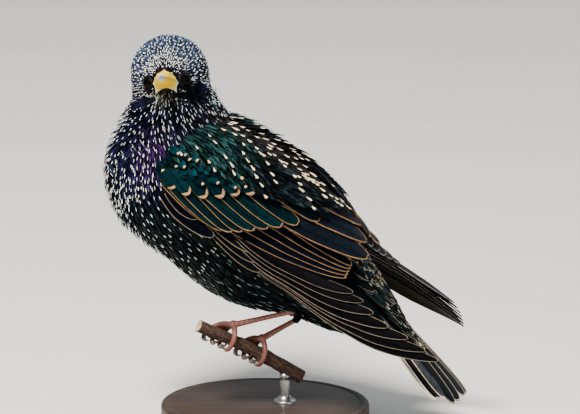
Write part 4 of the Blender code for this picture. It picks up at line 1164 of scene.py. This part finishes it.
tail = {
    "root": (-58.0, 10.4), "drop": 8.5, "swing": 6.0, "round": 9, "middleOut": 3.5,
    # each feather's length, its outer edge's distance from the fan's middle at the tip, half-width; left, then right
    "lengths": ((48.5, 48.2, 47.8, 47.5, 47.5, 47.0), (53.5, 54.0, 54.0, 53.8, 53.6, 53.4)), "length": 50.0,
    "edges": ((7.3, 7.5, 7.7, 7.9, 10.5, 11.3), (4.0, 9.5, 16.0, 19.5, 21.7, 23.5)),
    "halves": ((3.6, 3.7, 3.8, 3.9, 4.3, 4.3), (3.2, 4.3, 4.3, 4.3, 4.3, 4.3)), "slope": (0.35, 0.22),
    # the first two near feathers' slate-blue tones are the dark feather colour brightened by painted sheen
    "tones": ((0.028, 0.036, 0.047), (0.008, 0.01, 0.014), (0.002, 0.0025, 0.0035), (0.002, 0.0025, 0.0035), (0.002, 0.0025, 0.0035), (0.002, 0.0025, 0.0035)),
    "farTone": (0.004, 0.005, 0.007), "rim": (0.3, 0.35, 0.25), "rimFrom": 0.2, "rimSide": -1,
    "rimTones": ((0.06, 0.05, 0.04), (0.62, 0.54, 0.38), (0.02, 0.02, 0.02), (0.02, 0.02, 0.02), (0.75, 0.66, 0.48), (0.85, 0.76, 0.56)),
    "farRim": (0.3, 0.26, 0.2), "rimScales": (0.5, 0.9, 0.4, 0.4, 1.1, 1.5),
}


def tailSheet(backwards, out, rise):
    drop, swing = math.radians(tail["drop"]), math.radians(tail["swing"])
    x = tail["root"][0] - backwards * math.cos(drop) * math.cos(swing) + rise * math.sin(drop) + out * math.sin(swing)
    y = backwards * math.sin(swing) + out * math.cos(swing)
    z = tail["root"][1] - backwards * math.sin(drop) + (rise - out**2 / 90) * math.cos(drop)
    return toWorld(np.stack([x, y, z], -1), "body")


def addTail():
    number = np.tile(np.arange(6.0), 2)[:, None]
    side = np.repeat((1.0, -1.0), 6)[:, None]
    edge, wide, lengths = (np.array(tail[key], float).reshape(12, 1) for key in ("edges", "halves", "lengths"))
    slope, fold = tail["slope"], 2.5 * (number == 0) * (side < 0)

    def halfOf(x):
        return (2.1 * (1 - x) + wide * x) * np.sqrt(np.clip(1 - x ** tail["round"], 0, 1)) + 0.1

    def toPoints(x, offset, lift):
        middle = (2.15 + 0.9 * number) * (1 - x) + (edge - wide) * x
        out = np.maximum(middle + offset, 0.12 + 0.02 * number - fold * x)
        rise = (slope[0] * (1 - x) + slope[1] * x) * (out - 3) - 0.5 * number + lift + 0.15 * side
        return tailSheet(x * lengths, side * out + tail["middleOut"] * x, rise)

    look = {**tail, "tone": np.concatenate([tail["tones"], [tail["farTone"]] * 6])}
    look["rimTone"] = np.concatenate([tail["rimTones"], [tail["farRim"]] * 6])
    look["rimScale"] = np.concatenate([tail["rimScales"], np.full(6, 0.5)])[:, None]
    addFeatherSheets("tailFeathers", toPoints, 12, halfOf, look, "dark_plumage", ("tail",))


# Bill

billTones = {"tip": (0.5, 0.47, 0.55), "yellow": (0.9, 0.61, 0.0), "orange": (0.85, 0.36, 0.0), "base": (0.84, 0.88, 0.66)}
# the flared root's outline, from the ridge to the mouth's corner and from there to the chin, as (y, z)
billRoot = {
    "upper": ((0, 5.2), (0.8, 3.8), (2.0, 3.0), (3.1, 3.5), (3.1, 2.2), (4.2, 1.5), (4.0, 0.8), (5.1, -0.1)),
    "lower": ((5.1, -0.3), (4.5, -1.4), (4.2, -2.6), (4.2, -4.6), (2.9, -3.7), (1.6, -3.0), (0, -2.6)),
}


def addBill():
    tones = {name: np.array(colour) for name, colour in billTones.items()}
    stations = 1 - (1 - np.linspace(0, 1, 60)) ** 1.3
    x = bill["baseX"] - 4.5 + stations * (bill["length"] + 4.5)
    taper = np.clip((bill["baseX"] + bill["length"] - x) / (bill["length"] + 2.6), 0, 1.05)
    blunt = np.sqrt(np.clip(1 - (1 - np.clip(taper / 0.05, 0, 1)) ** 2, 0.0025, 1))
    droop = -1.0 * taper**2
    flare = np.exp(-(np.clip((x - 9.5) / 4.2, 0, None) ** 1.6))
    for name, upper, node in (("billUpper", True, "bill_upper"), ("billLower", False, "bill_lower")):
        half = (0.5 + 4.3 * taper**1.3) * blunt
        high = ((0.45 + 4.3 * taper**1.35) if upper else (0.4 + 2.6 * taper**1.1)) * blunt
        u = np.linspace(0, 1, 29)
        arch = np.stack([half[:, None] * np.sin(u * np.pi / 2) ** 0.9, high[:, None] * np.cos(u * np.pi / 2) ** 0.9], -1)
        root = np.array(billRoot["upper"] if upper else billRoot["lower"][::-1])
        marks = np.concatenate([[0], np.cumsum(np.linalg.norm(np.diff(root, axis=0), axis=-1))])
        lobed = np.stack([np.interp(u * marks[-1], marks, root[:, k]) for k in (0, 1)], -1)
        lobed[:, 1] *= 1 if upper else -1
        section = arch * (1 - flare[:, None, None]) + lobed[None] * flare[:, None, None]
        inner = section[:, -1:] * np.linspace(0.9, 0, 6)[None, :, None]
        inner[..., 1] = 0.06
        halfRing = np.concatenate([section, inner], 1)
        ring = np.concatenate([halfRing * (-1, 1), halfRing[:, -2:0:-1]], 1)
        way = 1 if upper else -1
        z = bill["mouthZ"] + droop[:, None] + way * (ring[..., 1] + 0.05)
        across = ring[..., 0]
        nostril = np.exp(-(((x[:, None] - 15.2) / 1.5) ** 2 + ((np.abs(across) - 2.9) / 1.0) ** 2 + ((z - 3.3) / 0.55) ** 2)) * upper
        across = across * (1 - 0.2 * nostril)
        points, faces = closedRings(toWorld(np.stack([x[:, None] + 0 * z, across, z], -1), "head"))
        grey = smoothStep(26.5, 31, x)[:, None, None]
        orange = (smoothStep(13, 17, x) * smoothStep(26, 20, x))[:, None, None]
        pale = (smoothStep(14.2, 11.0, x) * (0.85 if upper else 1))[:, None, None]
        tone = tones["yellow"] * (1 - 0.5 * orange) + tones["orange"] * 0.5 * orange
        tone = tone * (1 - grey) + tones["tip"] * grey
        tone = tone * (1 - pale) + tones["base"] * pale
        # the nostril is painted almost black: painted shade in its opening, which is only a slight dent
        tone = tone * (1 - 0.93 * nostril[..., None]) * np.where(np.abs(z - bill["mouthZ"] - droop[:, None]) < 0.12, 0.6, 1)[..., None]
        tone = np.concatenate([tone.reshape(-1, 3), tone[:1].mean(1), tone[-1:].mean(1)])
        addPiece(name, points, faces, materials["bill"], "bill_yellow", tone, None, (node,))


# Eyes and lids


def ballRings(middle, axis, angles, radii, columns):
    # rings round an axis: at each angle from it and radius from the middle
    first = unit(np.cross(axis, (0.1, 0.2, 1.0)))
    second = np.cross(axis, first)
    turn = np.arange(columns) * 2 * np.pi / columns
    flat = first * np.cos(turn)[:, None] + second * np.sin(turn)[:, None]
    radii = np.asarray(radii, float)
    radii = radii[:, None] if radii.ndim == 1 else radii
    angles = np.asarray(angles, float)
    angles = angles[:, None] if angles.ndim == 1 else angles
    return middle + (radii * np.sin(angles))[..., None] * flat[None] + (radii * np.cos(angles))[..., None] * axis


def addEyes():
    for side, node, label in ((1, "eye_left", "Left"), (-1, "eye_right", "Right")):
        middle, axis = eyeMiddle(side), eyeAxis(side)
        angles = np.radians(np.linspace(179, 1, 60))
        swell = 1 + 0.035 * smoothStep(45, 10, np.degrees(angles))
        points, faces = closedRings(ballRings(middle, axis, angles, eye["radius"] * swell, 48))
        degrees = np.degrees(np.arccos(np.clip(unit(points - middle) @ axis, -1, 1)))
        fibres = 1 + 0.3 * np.sin(dice.uniform(0, 40) + 60 * unit(points - middle) @ np.array((0.3, 0.5, 0.8)))
        iris = np.array((0.0014, 0.0009, 0.0008)) * fibres[:, None]
        pupil = smoothStep(25, 22, degrees)[:, None]
        tone = (iris * smoothStep(58, 46, degrees)[:, None] + 0.0004) * (1 - pupil) + 0.0003 * pupil
        addPiece("eye" + label, points, faces, materials["eye"], "eye_dark", tone, None, (node,))
        # the lids' rim: a soft ring round the opening, a little lower in front and behind than above
        turn = np.arange(64) * 2 * np.pi / 64
        profile = np.linspace(0, 2 * np.pi, 11)[:-1]
        opening = eye["opening"] - 2 + 2 * np.cos(2 * turn)
        angles = np.radians(opening[None] + 2.5 - 5 * np.cos(profile)[:, None])
        radii = eye["radius"] + 0.1 + 0.24 * np.sin(profile)[:, None] * (1 + 0.1 * np.sin(turn * 17)[None])
        rings = ballRings(middle, axis, angles, radii, 64)
        grid = gridFaces(10, 64)
        closing = np.stack([np.arange(64) + 9 * 64, np.roll(np.arange(64), -1) + 9 * 64, np.roll(np.arange(64), -1), np.arange(64)], -1)
        tone = np.full((640, 3), 0.0014) * (1 + 0.5 * np.sin(profile))[:, None].repeat(64, 0).reshape(640, 1)
        addPiece("lid" + label, rings, [np.concatenate([grid, closing])], materials["lid"], "dark_plumage", tone)


# Legs, feet and perch


def resampled(knots, count):
    # evenly spaced points of the curve through the knots
    fine = splineThrough(np.array(knots, float), np.linspace(0, 1, 300))
    way = np.concatenate([[0], np.cumsum(np.linalg.norm(np.diff(fine, axis=0), axis=-1))])
    return np.stack([np.interp(np.linspace(0, way[-1], count), way, fine[:, k]) for k in range(3)], -1)


def tubeRings(path, radii, sides, near):
    # rings square to the path; column 0 faces near
    heading = unit(np.gradient(path, axis=0))
    first = unit(np.array(near, float) - heading * along(heading, np.array(near, float))[:, None])
    second = np.cross(heading, first)
    turn = np.arange(sides) * 2 * np.pi / sides
    radii = np.asarray(radii, float).reshape(len(path), -1)
    flat = first[:, None] * np.cos(turn)[None, :, None] + second[:, None] * np.sin(turn)[None, :, None]
    return path[:, None] + radii[..., None] * flat


perch = {
    "left": (-26.5, -10.1, 41.8), "right": (14.5, 1.6, 18.0), "radius": 2.5,
    "swell": (1.0, 0.97, 0.94, 0.98, 0.95, 0.97, 1.0, 0.98, 1.05, 1.22, 1.08, 1.1, 1.12, 1.13, 1.14),
    "bark": (0.05, 0.026, 0.016), "wood": (0.5, 0.36, 0.2),
}
foot = {"seat": 3.1, "toe": 1.15, "palm": 1.9, "palmRise": 1.6, "claw": 6.0}
feet = {
    "left": {"share": 0.27, "ankle": (14.2, -12.5, 49.0), "toes": ((8.5, 185), (4.5, 205), (0.8, 210), (-2.2, -175))},
    "right": {"share": 0.55, "ankle": (20.5, 5.6, 45.4), "toes": ((7.0, 185), (3.2, 205), (-0.5, 205), (-3.5, -170))},
}


def twigPoint(share):
    share = np.asarray(share, float)[..., None]
    return np.array(perch["left"]) * (1 - share) + np.array(perch["right"]) * share + np.array((0, 0.6, 1.0)) * np.sin(np.pi * share)


def twigAxes():
    ahead = unit(np.array(perch["left"]) - np.array(perch["right"]))
    up = unit(np.array((0, 0, 1.0)) - ahead[2] * ahead)
    return ahead, up, np.cross(ahead, up)


def addPerch():
    # furrowed bark: ridges that wander round the twig, rings of bud scars, a splintered pale face at both ends
    rows, columns = 190, 72
    share = np.linspace(0, 1, rows)
    turn = np.arange(columns) * 2 * np.pi / columns
    radius = perch["radius"] * np.interp(share, np.linspace(0, 1, len(perch["swell"])), perch["swell"])
    u, v = np.meshgrid(share * 47, turn, indexing="ij")
    furrow = np.abs(np.sin(4 * v + 0.9 * np.sin(u * 0.45) + 0.6 * np.sin(u * 1.3 + v))) * 0.16
    knots = sum(high * np.exp(-(((u - at) / 1.3) ** 2) - (1 - np.cos(v - side)) * 3) for at, side, high in ((6, 1.0, 0.5), (19, 3.9, 0.4), (28.5, 0.4, 0.9), (29, 3.4, 0.6), (41, 2.0, 0.4)))
    rings = 0.09 * np.sin(u * 2.1 + 2 * np.sin(v)) ** 8
    relief = radius[:, None] - 0.12 + furrow + knots + rings + dice.normal(0, 0.02, (rows, columns))
    path = twigPoint(share)
    points = tubeRings(path, relief, columns, (0, -1, 0))
    bark = np.array(perch["bark"]) * (0.55 + 3.2 * furrow + 0.5 * rings)[..., None]
    for row, lean in ((0, 1), (-1, -1)):
        # both ends are cut square and stand a little ragged
        ragged = dice.normal(0, 0.18, columns)[:, None] * unit(path[1] - path[0])
        points[row] += ragged * lean
    shape, faces = closedRings(points)
    tone = np.concatenate([bark.reshape(-1, 3), np.array([perch["wood"]] * 2)])
    addPiece("perchBark", shape, faces, materials["bark"], "bark", tone, None, ("perch",))
    for name, row, lean in (("cutFaceLeft", 0, -1), ("cutFaceRight", -1, 1)):
        heading = unit(path[1] - path[0]) * lean
        levels = np.array((1.0, 0.96, 0.8, 0.6, 0.4, 0.2, 0.06))
        out = np.array((-0.3, 0.12, 0.2, 0.12, 0.2, 0.1, 0.16))
        middle = points[row].mean(0)
        rims = middle + (points[row] - middle)[None] * (levels[:, None, None] * 0.93) + heading * out[:, None, None]
        rims = rims + dice.normal(0, 0.03, rims.shape)
        shape, faces = closedRings(rims)
        tone = np.array(perch["wood"]) * dice.uniform(0.75, 1.1, (len(shape), 1))
        addPiece(name, shape, faces, materials["bark"], "bark", tone)


def addLegs():
    ahead, up, far = twigAxes()
    for side, look in feet.items():
        joint = twigPoint(look["share"]) + up * (foot["seat"] + foot["toe"] + foot["palmRise"])
        ankle = np.array(look["ankle"])
        top = ankle + (ankle - joint) * 0.12 + np.array((0, 0, 7.0))
        knots = [joint + (ankle - joint) * way for way in (0.0, 0.3, 0.6, 0.88, 1.0)] + [ankle + (top - ankle) * way for way in (0.35, 0.7, 1.0)]
        rows, columns = 150, 30
        path = resampled(knots, rows)
        way = np.linspace(0, 1, rows)
        radius = np.interp(way, (0, 0.06, 0.3, 0.6, 0.74, 0.8, 1), (1.5, 1.35, 1.12, 1.1, 1.5, 1.75, 2.2))
        turn = np.arange(columns) * 2 * np.pi / columns
        # scutes: broad overlapping plates up the front, a plain keel behind
        ramp = (way * 17) % 1
        front = np.clip(np.cos(turn), 0, 1)[None]
        relief = radius[:, None] * (1 + 0.1 * (ramp[:, None] - 0.5) * front * (way < 0.78)[:, None])
        relief = relief * (1 - 0.1 * np.abs(np.sin(turn))[None])
        towards = joint - ankle + np.array((0, 0, -30.0))
        points, faces = closedRings(tubeRings(path, relief, columns, towards * (1, 1, 0) + (-10, -6, 0)))
        skin = np.array((0.2, 0.07, 0.05)) * (0.72 + 0.45 * ramp)[:, None, None] * np.ones((1, columns, 1))
        tone = np.concatenate([skin.reshape(-1, 3), skin[:1].mean(1), skin[-1:].mean(1)])
        addPiece("leg_" + side + "_skin", points, faces, materials["leg"], "leg_pink", tone, None, ("leg_" + side,))
        addThigh(side, ankle, top)
        rings = ballRings(joint, unit(ankle - joint), np.radians(np.linspace(178, 2, 24)), np.full(24, foot["palm"]), 28)
        points, faces = closedRings(rings)
        allPoints, allFaces, tones = [points], list(faces), [np.full((len(points), 3), 1.0) * (0.18, 0.062, 0.045)]
        start = len(points)
        for number, (forward, turnTo) in enumerate(look["toes"]):
            rows, columns = 90, 22
            way = np.linspace(0, 1, rows)
            turn = np.radians(turnTo) * np.clip(way - 0.08, 0, None) / 0.92
            high = foot["seat"] + foot["toe"] + 1.4 * (1 - way) ** 3
            path = twigPoint(look["share"]) + ahead * (forward * np.sin(way * np.pi / 2))[:, None]
            outwards = np.cos(turn)[:, None] * up + np.sin(turn)[:, None] * far
            path = path + high[:, None] * outwards
            heading = unit(np.gradient(path, axis=0))
            first = unit(outwards - heading * along(heading, outwards)[:, None])
            second = np.cross(heading, first)
            around = np.arange(columns) * 2 * np.pi / columns
            pads = np.abs(np.sin(way * 3.5 * np.pi))[:, None] * np.clip(-np.cos(around), 0, 1)[None]
            scutes = ((way * 15) % 1)[:, None] * np.clip(np.cos(around), 0, 1)[None]
            radius = foot["toe"] * (np.interp(way, (0, 0.5, 1), (1.1, 0.98, 0.84))[:, None] + 0.1 * pads - 0.1 + 0.1 * scutes)
            flat = first[:, None] * np.cos(around)[None, :, None] + second[:, None] * np.sin(around)[None, :, None]
            points, faces = closedRings(path[:, None] + radius[..., None] * flat)
            tone = np.array((0.19, 0.066, 0.048)) * (0.75 + 0.4 * scutes + 0.1 * pads)[..., None]
            allPoints.append(points)
            allFaces += [some + start for some in faces]
            tones.append(np.concatenate([tone.reshape(-1, 3), tone[:1].mean(1), tone[-1:].mean(1)]))
            start += len(points)
            addClaw(f"{side}_{number + 1}", path[::11])
        addPiece("foot_" + side + "_skin", np.concatenate(allPoints), allFaces, materials["leg"], "leg_pink", np.concatenate(tones), None, ("foot_" + side,))


def addClaw(label, path):
    # goes on from the toe's tip, curling in; deep at the root, sharp and grooved below
    heading = unit(path[-1] - path[-2])
    bend = path[-1] - 2 * path[-2] + path[-3]
    bend = unit(bend - heading * (bend @ heading))
    knots, point = [], path[-1] - heading * 0.5
    for _ in range(7):
        knots.append(point)
        point = point + heading * (foot["claw"] + 0.7) / 6
        heading = unit(heading * math.cos(0.2) + bend * math.sin(0.2) * 0.6)
    way = np.linspace(0, 1, 28)
    path = resampled(knots, 28)
    turn = np.arange(16) * 2 * np.pi / 16
    radius = np.interp(way, (0, 0.2, 0.45, 0.7, 0.9, 1), (0.88, 0.82, 0.66, 0.46, 0.24, 0.08))
    oval = 1 - 0.18 * np.abs(np.sin(turn)) - 0.12 * np.clip(np.cos(turn), 0, 1) ** 8
    points, faces = closedRings(tubeRings(path, radius[:, None] * oval[None], 16, bend))
    grey = np.array((0.035, 0.03, 0.028)) * np.interp(way, (0, 0.3, 1), (1.6, 1, 0.7))[:, None, None] * np.ones((1, 16, 1))
    tone = np.concatenate([grey.reshape(-1, 3), grey[:1].mean(1), grey[-1:].mean(1)])
    addPiece("claw_" + label + "_horn", points, faces, materials["claw"], "claw_grey", tone, None, ("claw_" + label,))


def addThigh(side, ankle, top):
    # a feathered cone from the belly down over the ankle
    upper = ankle + (top - ankle) * 1.4
    low = ankle - (top - ankle) * 0.02
    rows = np.linspace(0, 1, 9)
    middle, root, turnAt = [], [], []
    for number, way in enumerate(rows):
        turn = (np.arange(9) + 0.5 * (number % 2)) * 2 * np.pi / 9
        middle.append(np.repeat((upper * (1 - way) + low * way)[None], 9, 0))
        root.append(np.full(9, 4.4 * (1 - way) + 1.5 * way))
        turnAt.append(turn)
    middle, radius, turn = np.concatenate(middle), np.concatenate(root), np.concatenate(turnAt)
    axis = unit(low - upper)
    first = unit(np.cross(axis, (0, 1.0, 0)))
    second = np.cross(axis, first)
    out = first * np.cos(turn)[:, None] + second * np.sin(turn)[:, None]
    x = stationsOfTuft
    reach = 5.5 * x
    spread = radius[:, None] * (1 - 0.5 * x[None]) - 0.5 * (1 - x[None]) + 0.3
    path = middle[:, None] + axis * reach[None, :, None] + out[:, None] * spread[..., None]
    up = unit(out[:, None] + axis * 0.3 + 0 * path)
    count = len(path)
    tone = plumeTone(path[:, -1]) * 0.8
    tuftVanes("thigh_" + side, path, up, np.full(count, 2.6), "contour", tone, skinPlaces(path[:, 0]))


# Stand

stand = {"radius": 42.0, "thick": 8.0, "rod": 2.0, "rodShare": 0.84}


def turnedShape(profile, columns, middle=(0, 0)):
    # a solid turned from (radius, height) pairs, read upwards
    turn = np.arange(columns) * 2 * np.pi / columns
    radius, height = np.array(profile, float).T
    x = middle[0] + radius[:, None] * np.cos(turn)
    y = middle[1] + radius[:, None] * np.sin(turn)
    return closedRings(np.stack([x, y, height[:, None] + 0 * x], -1))


def addStand():
    r, h = stand["radius"], stand["thick"]
    curve = np.linspace(0, np.pi / 2, 7)
    edge = [(r - 1.4 + 1.4 * math.cos(a), h - 1.4 + 1.4 * math.sin(a)) for a in curve]
    foot_ = [(0.5, 0.0), (r - 2.5, 0.0), (r - 2.0, 0.15), (r - 1.9, 0.9), (r - 0.8, 1.1), (r - 0.1, 1.6), (r, 2.4)]
    inner = [(r - 3.5, h), (r - 3.7, h - 0.25), (r - 4.3, h - 0.25), (r - 4.5, h), (r * 0.5, h), (5.6, h)]
    points, faces = turnedShape(foot_ + edge + inner + [(0.5, h)], 160)
    addPiece("standBase", points, faces, materials["wood"], "stand_wood", None, None, ("stand_base",))
    x, y, high = twigPoint(stand["rodShare"])
    rod = stand["rod"]
    collar = [(0.3, h - 1), (4.6, h - 1), (4.6, h + 0.7), (4.3, h + 1.0), (3.2, h + 1.3), (2.6, h + 2.2), (rod, h + 2.8)]
    shaft = [(rod, z) for z in np.linspace(h + 3, high - 4.2, 8)]
    cup = [(rod + 0.5, high - 3.7), (rod + 0.6, high - 3.2), (rod + 0.2, high - 2.8), (rod, high - 2.0), (0.3, high - 1.9)]
    points, faces = turnedShape(collar + shaft + cup, 48, (x, y))
    addPiece("standRod", points, faces, materials["steel"], "stand_steel", None, None, ("stand_rod",))


addCamera()
addLights()
addFloor()
addSkin()
addCoat()
print("coat done")
addWings()
addTail()
addBill()
addEyes()
addPerch()
addLegs()
addStand()
